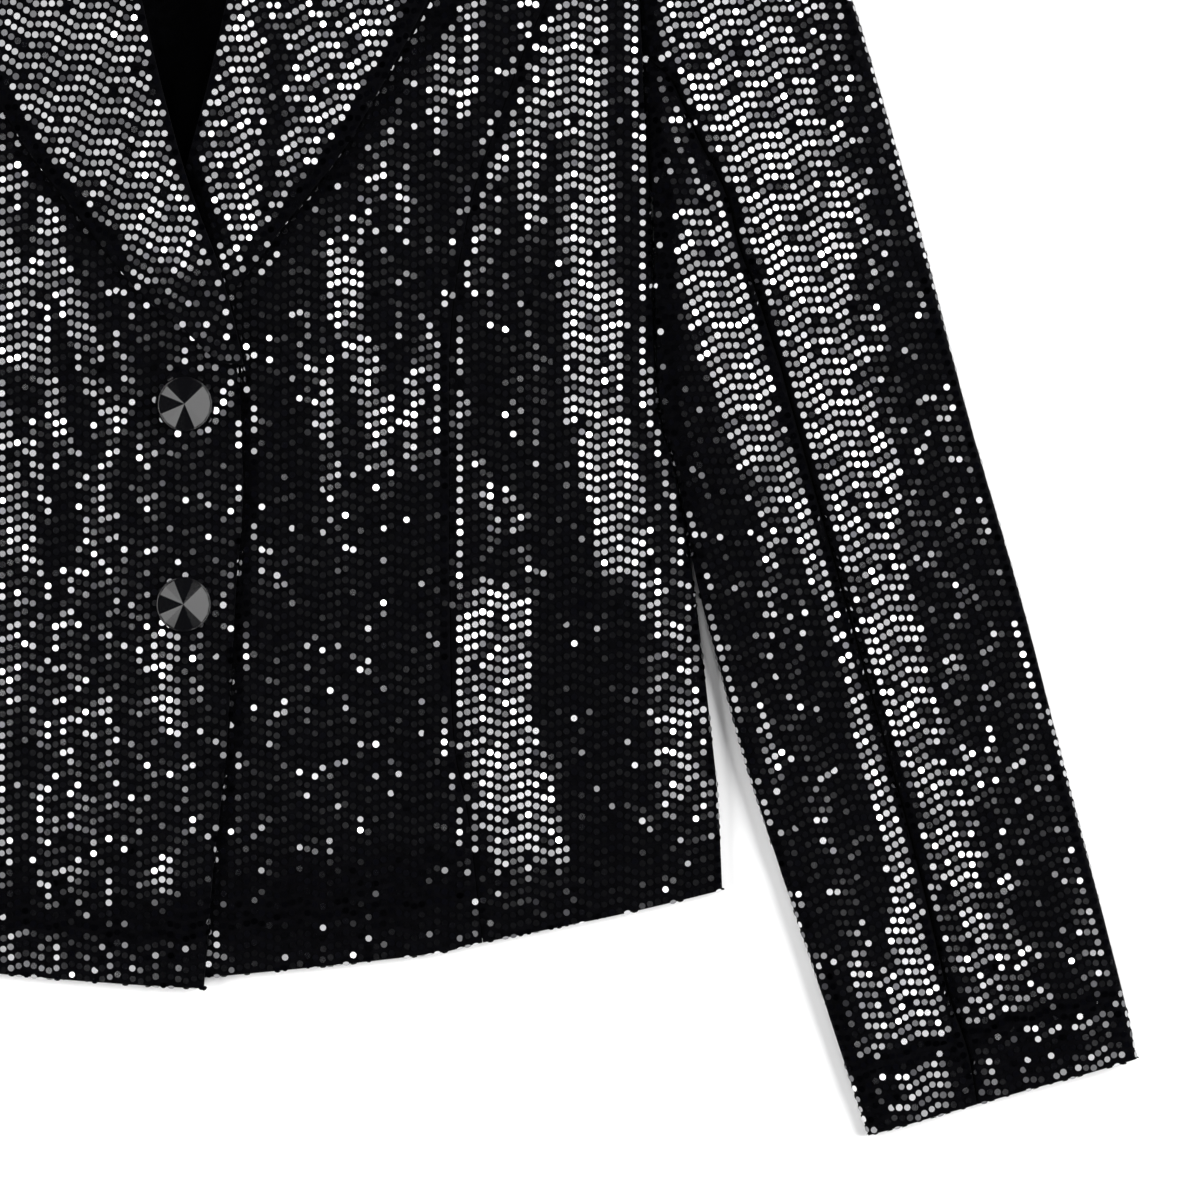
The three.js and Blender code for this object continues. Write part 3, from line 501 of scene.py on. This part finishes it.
def sleeve_edges(b):
    radius = np.minimum(EDGE_RADIUS, 0.4 * (sleeve_far(b) - sleeve_left(b)))
    left_radius = mix(EDGE_RADIUS, 0.3, smooth(-14, 2, b))
    return sleeve_left(b) + left_radius, left_radius, sleeve_far(b) - radius, radius


def place_sleeve(side):
    def place(l, b):
        left, left_radius, right, radius = sleeve_edges(b)
        a, share = roll(l, right, radius, 1)
        a, left_share = roll(a, left, left_radius, -1)
        share = share * left_share
        along, drop = fold(b, CUFF_B)
        face = sleeve_face(side, np.clip(a, left, right), np.maximum(along, CUFF_B + FOLD_RADIUS))
        x, y = unturned(a, along)
        return x, y, face * share - drop * (2 * share - 1)
    return place


def place_back(l, b):
    """The back lies on the table and turns up at its sides, a quarter round."""
    edge, radius = front_side_edge(b)
    over = np.clip((np.abs(l) - edge) / radius, 0, math.pi / 2)
    x = np.where(np.abs(l) > edge, np.sign(l) * (edge + radius * np.sin(over)), l)
    y, rise = fold(b, back_hem(np.abs(x)))
    return x, y, EDGE_HEIGHT / 2 * (1 - np.cos(over)) + rise


print("edge of the front at the waist, mm:", np.round(front_side_edge(np.array([232.0]))[0], 1))

# %% [markdown]
# A region is a grid between four edges. Its corners come from the seams, and because a hem or a
# shoulder isn't level, each grid point finds its height by a few rounds of putting the one into
# the other. The shell is that grid, a second one a cloth's thickness inside, and a rim.

# %% Regions and shells
CLOTH = 1.1
DOUBLED = 2.0
STEP = 3.2
SEAM_GAP = 0.15


def region(left, right, bottom, top, across, columns, rows):
    """Grid of l and b between edges. left and right give l at a height b; bottom and top give b
    at a place across, and across turns l and b into that place."""
    u, v = np.asarray(columns)[None, :], np.asarray(rows)[:, None]
    b = mix(bottom(0.0 * u), top(0.0 * u + 60), v) + 0.0 * u
    for _ in range(12):
        l = mix(left(b), right(b), u)
        x = across(l, b)
        b = mix(bottom(x), top(x), v)
    return l, b


def normals(grid):
    """Unit normals of a grid of points, from the differences between neighbours."""
    n = np.cross(np.gradient(grid, axis=1), np.gradient(grid, axis=0))
    return n / np.maximum(np.linalg.norm(n, axis=-1, keepdims=True), 1e-9)


def mesh_object(name, verts, corners, starts, smooth_faces=True):
    """Puts arrays into a mesh: verts in metres, corners a flat list of vertex numbers and starts
    where each face begins in it."""
    mesh = bpy.data.meshes.new(name)
    mesh.vertices.add(len(verts))
    mesh.vertices.foreach_set("co", np.ascontiguousarray(verts, np.float32).ravel())
    mesh.loops.add(len(corners))
    mesh.loops.foreach_set("vertex_index", np.ascontiguousarray(corners, np.int32))
    mesh.polygons.add(len(starts))
    mesh.polygons.foreach_set("loop_start", np.ascontiguousarray(starts, np.int32))
    mesh.update(calc_edges=True)
    mesh.polygons.foreach_set("use_smooth", np.full(len(starts), smooth_faces))
    mesh.validate()
    made = bpy.data.objects.new(name, mesh)
    bpy.context.collection.objects.link(made)
    return made


def shell_arrays(grid, thickness, side):
    """Vertices in metres and faces of a closed shell, from a grid of outer points in mm."""
    rows, columns = grid.shape[:2]
    inner = grid - normals(grid) * thickness
    inner[..., 2] = np.maximum(inner[..., 2], 0.2)
    count = rows * columns
    j, i = np.mgrid[: rows - 1, : columns - 1]
    a = (j * columns + i).ravel()
    outer_faces = np.stack([a, a + 1, a + 1 + columns, a + columns], 1)
    index = np.arange(count).reshape(rows, columns)
    rim = np.concatenate([index[0, :-1], index[:-1, -1], index[-1, :0:-1], index[:0:-1, 0]])
    after = np.roll(rim, -1)
    rim_faces = np.stack([rim, rim + count, after + count, after], 1)
    faces = np.vstack([outer_faces, outer_faces[:, ::-1] + count, rim_faces])
    if side < 0:
        faces = faces[:, ::-1]
    verts = np.concatenate([grid.reshape(-1, 3), inner.reshape(-1, 3)])
    return (verts * [side, 1, 1] + [0, SHIFT_Y, 0]) * MM, faces


def shell(name, grids, thickness):
    """One object of closed shells. grids holds pairs of a grid and its side of the garment."""
    parts = [shell_arrays(grid, thickness, side) for grid, side in grids]
    starts = np.cumsum([0] + [len(verts) for verts, _ in parts])
    verts = np.vstack([verts for verts, _ in parts])
    faces = np.vstack([faces + start for (_, faces), start in zip(parts, starts)])
    made = mesh_object(name, verts, faces.ravel(), np.arange(len(faces)) * 4)
    made.data.materials.append(velour)
    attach(made, "root")
    return made


def even(count):
    return np.linspace(0, 1, count)


def shares(length, step, start=0.0, end=0.0, fine=6):
    """Shares of a length at even steps, with fine ones over a bend at its start or end."""
    near = np.linspace(0, start / length, fine, endpoint=False) if start else []
    far = np.linspace(1 - end / length, 1, fine + 1)[1:] if end else []
    middle = np.linspace(start / length, 1 - end / length, max(int(length / step), 2))
    return np.concatenate([near, middle, far])


print("cloth thickness, mm:", CLOTH)

# %% [markdown]
# Cloth and dots are two materials. The cloth is a charcoal stretch velour: almost no colour, a
# soft sheen and a fine nap. The dots are foil: metal, nearly a mirror, with a roughness and a
# brightness of their own that each dot carries as an attribute of its face.

# %% Materials
def material(name, **sockets):
    made = bpy.data.materials.new(name)
    made.use_nodes = True
    shader = made.node_tree.nodes["Principled BSDF"]
    for socket, value in sockets.items():
        shader.inputs[socket.replace("_", " ")].default_value = value
    return made, made.node_tree, shader


def velour_material():
    """Near-black cloth: two sizes of noise move the colour, and a fine one raises the nap."""
    made, tree, shader = material("velour", Roughness=0.85, Sheen_Weight=0.01, Sheen_Roughness=0.5,
                                  Specular_IOR_Level=0.05)
    place = tree.nodes.new("ShaderNodeTexCoord")
    nap = tree.nodes.new("ShaderNodeTexNoise")
    nap.inputs["Scale"].default_value = 2600
    nap.inputs["Detail"].default_value = 3
    patch = tree.nodes.new("ShaderNodeTexNoise")
    patch.inputs["Scale"].default_value = 260
    both = tree.nodes.new("ShaderNodeMath")
    both.operation = "MULTIPLY"
    ramp = tree.nodes.new("ShaderNodeValToRGB")
    ramp.color_ramp.elements[0].position = 0.12
    ramp.color_ramp.elements[0].color = (0.0006, 0.0006, 0.0008, 1)
    ramp.color_ramp.elements[1].position = 0.45
    ramp.color_ramp.elements[1].color = (0.0026, 0.0026, 0.0034, 1)
    bump = tree.nodes.new("ShaderNodeBump")
    bump.inputs["Strength"].default_value = 0.5
    bump.inputs["Distance"].default_value = 0.0004
    link = tree.links.new
    link(place.outputs["Object"], nap.inputs["Vector"])
    link(place.outputs["Object"], patch.inputs["Vector"])
    link(nap.outputs["Fac"], both.inputs[0])
    link(patch.outputs["Fac"], both.inputs[1])
    link(both.outputs[0], ramp.inputs["Fac"])
    link(ramp.outputs["Color"], shader.inputs["Base Color"])
    link(nap.outputs["Fac"], bump.inputs["Height"])
    link(bump.outputs["Normal"], shader.inputs["Normal"])
    return made


def foil_material():
    """Foil dots: the attribute glint, from 0 to 1, makes a dot brighter and smoother."""
    made, tree, shader = material("foil", Metallic=1.0)
    glint = tree.nodes.new("ShaderNodeAttribute")
    glint.attribute_name = "glint"
    colour = tree.nodes.new("ShaderNodeValToRGB")
    colour.color_ramp.elements[0].color = (0.055, 0.055, 0.062, 1)
    colour.color_ramp.elements[1].color = (0.84, 0.84, 0.88, 1)
    shoulder = colour.color_ramp.elements.new(0.97)
    shoulder.color = (0.80, 0.80, 0.81, 1)
    rough = tree.nodes.new("ShaderNodeMapRange")
    rough.inputs["To Min"].default_value = 0.14
    rough.inputs["To Max"].default_value = 0.05
    link = tree.links.new
    link(glint.outputs["Fac"], colour.inputs["Fac"])
    link(glint.outputs["Fac"], rough.inputs["Value"])
    link(colour.outputs["Color"], shader.inputs["Base Color"])
    link(rough.outputs["Result"], shader.inputs["Roughness"])
    return made


velour = velour_material()
foil = foil_material()
print("materials:", velour.name, foil.name)

# %% [markdown]
# The dots stand in columns along the grain. Each row is a gentle zigzag that falls for three
# columns and climbs for three. A dot is one flat ten-sided face, a little proud of the cloth. Most
# lean a degree or two at random and one in twelve leans more, so that single dots sparkle.

# %% Dots on a cut
DOT_RADIUS = 1.48
COLUMN_PITCH = 3.45
ROW_PITCH = 4.84
ZIGZAG = np.array([0, 1, 2, 3, 2, 1]) * 0.95
DOT_SIDES = 10
DOT_LIFT = 0.22
TILT = math.radians(1.5)
LOOSE_TILT = math.radians(6.0)
LOOSE_SHARE = 0.08
rng = np.random.default_rng(20)


def lattice(low, high):
    """Places of the dots between two corners of a cut, in mm."""
    i = np.arange(math.floor(low[0] / COLUMN_PITCH), math.ceil(high[0] / COLUMN_PITCH) + 1)
    j = np.arange(math.floor(low[1] / ROW_PITCH) - 1, math.ceil(high[1] / ROW_PITCH) + 2)
    i, j = [g.ravel() for g in np.meshgrid(i, j)]
    l = i * COLUMN_PITCH + rng.normal(0, 0.08, i.size)
    b = j * ROW_PITCH + ZIGZAG[i % 6] + rng.normal(0, 0.08, i.size)
    return l, b


def dots(name, place, inside, low, high, side, outwards=1):
    """Joined dots on a cut: place gives their points, a small step of it each way the tilt of the
    cloth, and inside says which of them lie on the cut."""
    l, b = lattice(low, high)
    keep = inside(l, b)
    l, b = l[keep], b[keep]
    h = 0.6
    at = np.stack(place(l, b), -1)
    du = np.stack(place(l + h, b), -1) - np.stack(place(l - h, b), -1)
    dv = np.stack(place(l, b + h), -1) - np.stack(place(l, b - h), -1)
    n = np.cross(du, dv) * outwards
    n /= np.maximum(np.linalg.norm(n, axis=1, keepdims=True), 1e-9)
    loose = rng.uniform(size=len(l)) < LOOSE_SHARE
    spread = np.where(loose, LOOSE_TILT, TILT)[:, None]
    n += rng.normal(size=n.shape) * spread
    n /= np.linalg.norm(n, axis=1, keepdims=True)
    e1 = np.cross(n, [0.0, 1.0, 0.0])
    small = np.linalg.norm(e1, axis=1) < 0.05
    e1[small] = np.cross(n[small], [1.0, 0.0, 0.0])
    e1 /= np.linalg.norm(e1, axis=1, keepdims=True)
    e2 = np.cross(n, e1)
    radius = DOT_RADIUS * rng.normal(1, 0.03, len(l))
    turn = np.arange(DOT_SIDES) * 2 * math.pi / DOT_SIDES
    ring = (e1[:, None] * np.cos(turn)[None, :, None] + e2[:, None] * np.sin(turn)[None, :, None])
    points = at[:, None] + n[:, None] * DOT_LIFT + ring * radius[:, None, None]
    points = (points * [side, 1, 1] + [0, SHIFT_Y, 0]) * MM
    points = points if side > 0 else points[:, ::-1]
    points[..., 2] = np.maximum(points[..., 2], 0.0001)
    made = mesh_object(name, points.reshape(-1, 3), np.arange(points.shape[0] * DOT_SIDES),
                       np.arange(points.shape[0]) * DOT_SIDES, smooth_faces=False)
    glint = made.data.attributes.new("glint", "FLOAT", "FACE")
    value = rng.beta(1.3, 1.6, len(l))
    glint.data.foreach_set("value", value.astype(np.float32))
    made.data.materials.append(foil)
    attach(made, "root")
    print(name, len(l), "dots")
    return made


# %% [markdown]
# With these tools a piece of cloth takes one call: its edges, how it is placed, and the node it
# stands for.


def cloth_piece(node, cut, place, inside, side, flip=False):
    """Shell and dots of one piece of cloth; its node is hidden."""
    l, b = cut
    grid = np.stack(np.broadcast_arrays(*place(l, b)), -1)
    grid = grid[:, ::-1] if flip else grid
    made = shell(node + "_cloth", [(grid, side)], CLOTH)
    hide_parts(node)
    low, high = (l.min(), b.min()), (l.max(), b.max())
    sparkle = dots(node + "_dots", place, inside, low, high, side, -1 if flip else 1)


def between_edges(left, right, bottom, top, across, margin=0.7, hem_margin=0.2):
    """A test of which dots lie on a cut."""
    def inside(l, b):
        x = across(l, b)
        return ((l > left(b) + margin) & (l < right(b) - margin)
                & (b > bottom(x) + hem_margin) & (b < top(x) - margin))
    return inside


def plain_across(l, b):
    return l


# %% [markdown]
# The fronts come first. Each has a centre piece, whose edge runs up from the hem and becomes the
# line on which the lapel rolls, and a side piece that turns over into the side seam.

# %% Fronts
PRINCESS_TOP = 500.0


def make_front(side, owner):
    hem = hem_line[side]

    def centre_right(b):
        return np.where(b < PRINCESS_TOP, princess_line(b), side_line(b)) - SEAM_GAP

    def centre_left(b):
        return front_line(b) - FOLD_LENGTH

    def bottom(x):
        return hem(x) - FOLD_LENGTH

    def across(l, b):
        return np.maximum(l, front_line(b))

    rows = shares(600, STEP, start=BEND_REACH)
    columns = shares(150, STEP, start=BEND_REACH)
    cut = region(centre_left, centre_right, bottom, shoulder_line, across, columns, rows)
    inside = between_edges(centre_left, centre_right, bottom, shoulder_line, across)
    cloth_piece(f"{owner}_front_centre", cut, place_front(side), inside, side)

    def side_left(b):
        return princess_line(b) + SEAM_GAP

    def side_right(b):
        edge, radius = front_side_edge(b)
        return edge + radius * math.pi / 2

    def side_across(l, b):
        edge, radius = front_side_edge(b)
        return np.minimum(l, edge + radius)

    def side_top(x):
        return np.full_like(x, PRINCESS_TOP - 6)

    columns = shares(95, STEP, end=5)
    rows = shares(480, STEP, start=BEND_REACH)
    cut = region(side_left, side_right, bottom, side_top, side_across, columns, rows)
    inside = between_edges(side_left, side_right, bottom, side_top, side_across)
    cloth_piece(f"{owner}_front_side", cut, place_front(side), inside, side)


make_front(LEFT, "left")
make_front(RIGHT, "right")

# %% [markdown]
# The back lies under everything. Its outer face is the underside and is flat, because the table
# holds it flat. Through the neck only its plain inside shows.

# %% Back
def make_back():
    def right(b):
        edge, radius = front_side_edge(b)
        return edge + radius * math.pi / 2 - SEAM_GAP

    def left(b):
        return -right(b)

    def bottom(x):
        return back_hem(np.abs(x)) - FOLD_LENGTH

    def across(l, b):
        return np.clip(l, -side_line(b), side_line(b))

    columns = shares(440, 2 * STEP, start=5, end=5)
    rows = shares(560, 2 * STEP, start=BEND_REACH)
    cut = region(left, right, bottom, shoulder_line, across, columns, rows)
    inside = between_edges(left, right, bottom, shoulder_line, across)
    cloth_piece("back", cut, place_back, inside, LEFT, flip=True)


# %% [markdown]
# The floor has to be there before the back can rest on it: a white table with nothing on it.

# %% Floor
def make_floor():
    size = 4.0
    corners = np.array([(-size, -size, 0), (size, -size, 0), (size, size, 0), (-size, size, 0)]) / 2
    made = mesh_object("floor", corners, np.arange(4), np.array([0]), smooth_faces=False)
    white, _, shader = material("white_table", Roughness=0.9, Specular_IOR_Level=0.1)
    shader.inputs["Base Color"].default_value = (0.93, 0.93, 0.93, 1)
    made.data.materials.append(white)


make_floor()
make_back()

# %% [markdown]
# A sleeve has two pieces. Both run round the flattened tube: the upper piece from the seam on
# its face over the outer edge to a seam on the underside, the under piece the other way round.

# %% Sleeves
BACK_SEAM_SHARE = 0.78


def make_sleeve(side, owner):
    place = place_sleeve(side)

    def under_seam(b):
        share = mix(BACK_SEAM_SHARE, 0.25, smooth(CUFF_B, SEAM_TOP_B, b))
        line = mix(sleeve_left(b), sleeve_far(b), share)
        return np.where(b > SEAM_TOP_B, armhole_near(b) + 0.4, np.maximum(line, armhole_near(b)))

    def top_left(b):
        return np.where(b > SEAM_TOP_B, armhole_near(b) + 0.4, sleeve_seam(b) + SEAM_GAP)

    def top_right(b):
        _, _, right, radius = sleeve_edges(b)
        return right + math.pi * radius + (right - under_seam(b)) - SEAM_GAP

    def bottom(a):
        return np.full_like(a, CUFF_B - FOLD_LENGTH)

    def top_of_top(a):
        return np.full_like(a, SHOULDER_B - 5)

    rows = shares(SHOULDER_B - CUFF_B, STEP, start=BEND_REACH)
    cut = region(top_left, top_right, bottom, top_of_top, plain_across, even(86), rows)
    inside = between_edges(top_left, top_right, bottom, top_of_top, plain_across)
    cloth_piece(f"{owner}_sleeve_top", cut, place, inside, side)

    def low_left(b):
        left, radius, _, _ = sleeve_edges(b)
        return left - math.pi * radius - (under_seam(b) - left) + SEAM_GAP

    def low_right(b):
        return sleeve_seam(b) - SEAM_GAP

    def top_of_low(a):
        return np.full_like(a, SEAM_TOP_B + 1.5)

    rows = shares(SEAM_TOP_B - CUFF_B, STEP, start=BEND_REACH)
    cut = region(low_left, low_right, bottom, top_of_low, plain_across, even(80), rows)
    inside = between_edges(low_left, low_right, bottom, top_of_low, plain_across)
    cloth_piece(f"{owner}_sleeve_under", cut, place, inside, side)


make_sleeve(LEFT, "left")
make_sleeve(RIGHT, "right")

# %% [markdown]
# A lapel is the front and its facing folded outwards. It lies on the front, bulges up towards
# the fold and turns down round it. Its grain follows the fold, so its rows of dots lean.

# %% Lapels
LAPEL_CLEAR = 0.5
LAPEL_TILT = {LEFT: 0.132, RIGHT: 0.085}
LAPEL_BULGE_WIDTH = 90.0
LAPEL_FOLDS = np.array([(LEFT, 38, 428, 33, 350, 5, -0.8), (RIGHT, 48, 372, 30, 322, 6, -0.7)], float)
ROLL_RADIUS = 3.0
LAPEL_GRAIN = math.radians(16)
LAPEL_LATTICE = ((0, 150), (320, 600))
LAPEL_MARGIN = 0.9


def gorge_line(x):
    table = np.array(GORGE, float)
    return np.interp(x, table[:, 0], table[:, 1])


def lapel_face(side, x, y):
    """Outer face of a lapel: the front's face, the doubled cloth, a bulge that grows towards the
    roll line, and a few folds of its own."""
    from_roll = x - front_line(y)
    beyond = smooth(-front_line(y) - 2, -front_line(y) + 12, x)
    shown = np.maximum(beyond, smooth(375, 400, y)) if side == LEFT else smooth(300, 345, y)
    width = np.maximum(lapel_edge(np.minimum(y, LAPEL_TOP)) - front_line(y), 12)
    share = np.clip(from_roll / width, 0, 1)
    bulge = LAPEL_TILT[side] * np.minimum(width, LAPEL_BULGE_WIDTH) * (1 - share) * shown
    edge = FACE[side](x, y)
    own = ripple(x, y, side + 9) * 0.3 * smooth(0, 10, from_roll)
    own = own + ridges(LAPEL_FOLDS, side, x, y)
    return edge + LAPEL_CLEAR + DOUBLED + bulge + own


def make_lapel(side, owner):
    foot = LAPEL_FOOT[side]

    def left(b):
        return front_line(b)

    def right(b):
        return lapel_edge(np.minimum(b, LAPEL_TOP))

    def bottom(x):
        return np.full_like(x, foot)

    def rolled(l, b):
        """Past the roll line the length l goes down round the roll and a little under it."""
        edge = front_line(b)
        over = np.maximum(edge - l, 0)
        angle = np.clip(over / ROLL_RADIUS, 0, math.pi / 2)
        drop = np.maximum(over - ROLL_RADIUS * math.pi / 2, 0)
        x = np.where(over > 0, edge - ROLL_RADIUS * np.sin(angle), l)
        height = lapel_face(side, np.maximum(x, edge), b)
        return x, b, height - ROLL_RADIUS * (1 - np.cos(angle)) - drop

    under = ROLL_RADIUS * math.pi / 2 + 3.5

    def left_cut(b):
        return left(b) - under

    def across(l, b):
        return np.maximum(l, left(b))

    columns = np.concatenate([np.linspace(0, 0.16, 12), np.linspace(0.19, 1, 34)])
    cut = region(left_cut, right, bottom, gorge_line, across, columns, shares(250, STEP))
    turn = LAPEL_GRAIN

    def leaning(l, b):
        """The grain leans: the lattice is turned, so its places are turned back here."""
        return (l * math.cos(turn) - b * math.sin(turn), l * math.sin(turn) + b * math.cos(turn))

    def inside(l, b):
        x, y = leaning(l, b)
        test = between_edges(lambda q: left(q) - ROLL_RADIUS, right, bottom, gorge_line, across,
                             LAPEL_MARGIN, LAPEL_MARGIN)
        return test(x, y)

    def place(l, b):
        return rolled(*leaning(l, b))

    l, b = cut
    grid = np.stack(rolled(l, b), -1)
    made = shell(f"{owner}_lapel_cloth", [(grid, side)], DOUBLED)
    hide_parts(f"{owner}_lapel")
    sparkle = dots(f"{owner}_lapel_dots", place, inside, *LAPEL_LATTICE, side)


make_lapel(LEFT, "left")
make_lapel(RIGHT, "right")

# %% [markdown]
# The collar is outside the picture, and is made plainly: two leaves that lie on the fronts and
# turn down over the shoulders, and the stand between them, laid on its side behind the neck.

# %% Collar
COLLAR_SEAT = (60, 585)
STAND_ROLL = [(-66, 620), (-40, 612), (0, 607), (40, 612), (66, 620)]
STAND_GAP = 0.3
STAND_SECTION = np.array([(0, 1.5), (0.35, 3.4), (0.75, 5), (0.94, 4.2), (1, 2.6)])
STAND_HALF = 68.0
COLLAR_FALL = 2.4
COLLAR_CLOTH = 1.6
COLLAR_MARGIN = 1.0
LEAF_LATTICE = ((30, 480), (130, 640))
STAND_LATTICE = ((-80, 570), (80, 630))


def make_collar():
    left, right = reader(COLLAR_ROLL), reader(COLLAR_EDGE)
    fold_line = reader(COLLAR_FOLD, by_y=False)
    high = reader(STAND_ROLL, by_y=False)

    def bottom(x):
        return np.interp(x, COLLAR_END[:, 0], COLLAR_END[:, 1])

    def top(x):
        return fold_line(x) + COLLAR_FALL

    def low(x):
        return shoulder_line(x) + STAND_GAP

    def leaf(side):
        def place(l, b):
            y, drop = fold(b, fold_line(l), sign=-1)
            seat = FACE[side](np.maximum(l, COLLAR_SEAT[0]), np.minimum(y, COLLAR_SEAT[1]))
            return l, y, seat + LAPEL_CLEAR + DOUBLED - drop
        return place

    def stand(l, b):
        share = (b - low(l)) / (high(l) - low(l))
        return l, b, np.interp(share, *STAND_SECTION.T)

    l, b = region(left, right, bottom, top, plain_across, even(24), shares(90, STEP, end=4))
    across = [lambda q: q * 0 - STAND_HALF, lambda q: q * 0 + STAND_HALF]
    sl, sb = region(*across, low, high, plain_across, even(60), even(16))
    grids = [(np.stack(leaf(side)(l, b), -1), side) for side in (LEFT, RIGHT)]
    made = shell("collar_cloth", grids + [(np.stack(stand(sl, sb), -1), LEFT)], COLLAR_CLOTH)
    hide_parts("collar")
    inside = between_edges(left, right, bottom, top, plain_across, COLLAR_MARGIN, COLLAR_MARGIN)
    on_stand = between_edges(*across, low, high, plain_across, COLLAR_MARGIN, COLLAR_MARGIN)
    sparkles = [dots(f"collar_{name}_dots", leaf(side), inside, *LEAF_LATTICE, side)
                for name, side in (("left", LEFT), ("right", RIGHT))]
    sparkles.append(dots("collar_stand_dots", stand, on_stand, *STAND_LATTICE, LEFT))


make_collar()

# %% [markdown]
# The two buttons are moulded in gloss black: a low cone of sixteen flat facets that meet in a
# point, inside a thin rounded rim, on a short shank.

# %% Buttons
FACETS = 16
RIM_SEGMENTS = 96
RIM_WIDTH = 0.9
RING_HEIGHT = 3.9


def make_button(node):
    """A button the size of its node's box: a lathe for shank and rim, then flat facets. The
    point of ring k at angle t is the radius times cosine and sine of t."""
    low, high = np.array(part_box(node)) / MM
    centre, radius, height = (low + high) / 2, (high[0] - low[0]) / 2, high[2] - low[2]
    seat = low[2]
    profile = np.array([
        (0.02, 0), (2.6, 0), (2.6, 2.0), (radius - 1.2, 2.0), (radius - 0.3, 2.3), (radius, 2.8),
        (radius - 0.08, 3.9), (radius - 0.4, 4.2), (radius - 0.75, 4.15), (radius - RIM_WIDTH, RING_HEIGHT),
    ])
    turn = np.arange(RIM_SEGMENTS) * 2 * math.pi / RIM_SEGMENTS
    rings = [np.stack([r * np.cos(turn), r * np.sin(turn), 0 * turn + z], 1) for r, z in profile]
    k = np.arange(RIM_SEGMENTS)
    after = (k + 1) % RIM_SEGMENTS
    faces = [np.stack([j * RIM_SEGMENTS + k, j * RIM_SEGMENTS + after,
                       (j + 1) * RIM_SEGMENTS + after, (j + 1) * RIM_SEGMENTS + k], 1)
             for j in range(len(profile) - 1)]
    corner = np.arange(FACETS) * 2 * math.pi / FACETS
    inner = radius - RIM_WIDTH
    ring = np.stack([inner * np.cos(corner), inner * np.sin(corner), 0 * corner + RING_HEIGHT], 1)
    tip = np.array([[0, 0, height]])
    lathe = np.vstack(rings)
    verts = np.vstack([lathe, ring, tip]) + [centre[0], centre[1], seat]
    first, last = len(lathe), len(lathe) + FACETS
    facet = np.arange(FACETS)
    tops = np.stack([first + facet, first + (facet + 1) % FACETS, 0 * facet + last], 1)
    arcs = [list(range((len(profile) - 1) * RIM_SEGMENTS + i * RIM_SEGMENTS // FACETS,
                       (len(profile) - 1) * RIM_SEGMENTS + (i + 1) * RIM_SEGMENTS // FACETS + 1))
            for i in range(FACETS)]
    arcs[-1][-1] = (len(profile) - 1) * RIM_SEGMENTS
    fans = [arc + [first + (i + 1) % FACETS, first + i] for i, arc in enumerate(arcs)]
    closed = [list(range(RIM_SEGMENTS))[::-1]]
    loops = [row.tolist() for row in np.vstack(faces)] + closed + tops.tolist() + fans
    corners = np.concatenate([np.array(loop) for loop in loops])
    starts = np.cumsum([0] + [len(loop) for loop in loops])[:-1]
    made = mesh_object(node + "_gloss", verts * MM, corners, starts, smooth_faces=False)
    soft = np.arange(len(loops)) < len(np.vstack(faces))
    made.data.polygons.foreach_set("use_smooth", soft)
    made.data.materials.append(gloss)
    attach(made, "root")
    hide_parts(node)


gloss, _, gloss_shader = material("gloss_black", Roughness=0.07, IOR=2.4)
gloss_shader.inputs["Base Color"].default_value = (0.003, 0.003, 0.0035, 1)
make_button("button_upper")
make_button("button_lower")

# %% [markdown]
# Light makes or breaks this cloth. Two long soft boxes hang left and right, a little off
# straight above, so flat cloth stays dark and gentle slopes shine. Two wide lights, low on either
# side, whiten the table, and the mirrors don't show them. The stronger one, on the right, throws
# the soft shadow to the left of the sleeve.

# %% Lights
def soft_box(name, degrees_x, degrees_y, distance, size, power):
    """A rectangular light that looks at the middle of the picture from a direction given by two
    leans off straight up, to the right and to the top of the picture."""
    data = bpy.data.lights.new(name, "AREA")
    data.shape = "RECTANGLE"
    data.size, data.size_y = size
    data.energy = power
    made = bpy.data.objects.new(name, data)
    aim = np.array([AIM[0] * MM, (AIM[1] + SHIFT_Y) * MM, 0])
    way = np.array([math.tan(math.radians(degrees_x)), math.tan(math.radians(degrees_y)), 1.0])
    way /= np.linalg.norm(way)
    made.location = aim + way * distance
    made.rotation_euler = (-math.atan2(way[1], way[2]), math.atan2(way[0], math.hypot(way[1], way[2])), 0)
    bpy.context.collection.objects.link(made)
    return made


soft_box("box_left", -19.5, 0, 6.0, (2.0, 4.8), 31)
soft_box("box_right", 18, 0, 6.0, (2.0, 4.8), 30)
soft_box("strip_left", -13, 6, 5.5, (0.22, 3.0), 11)
soft_box("strip_right", 13, 6, 5.5, (0.22, 3.0), 11)
for name, degrees, rise, size, power in (("fill_right", 60, 18, (3.0, 4.0), 520),
                                         ("fill_left", -64, 0, (2.5, 4.0), 340)):
    fill = soft_box(name, degrees, rise, 5.0, size, power)
    fill.visible_glossy = False
world = bpy.data.worlds.new("studio")
world.use_nodes = True
world.node_tree.nodes["Background"].inputs["Color"].default_value = (0.9, 0.92, 1.35, 1)
world.node_tree.nodes["Background"].inputs["Strength"].default_value = 0.004
bpy.context.scene.world = world
bpy.context.scene.view_settings.view_transform = "Standard"
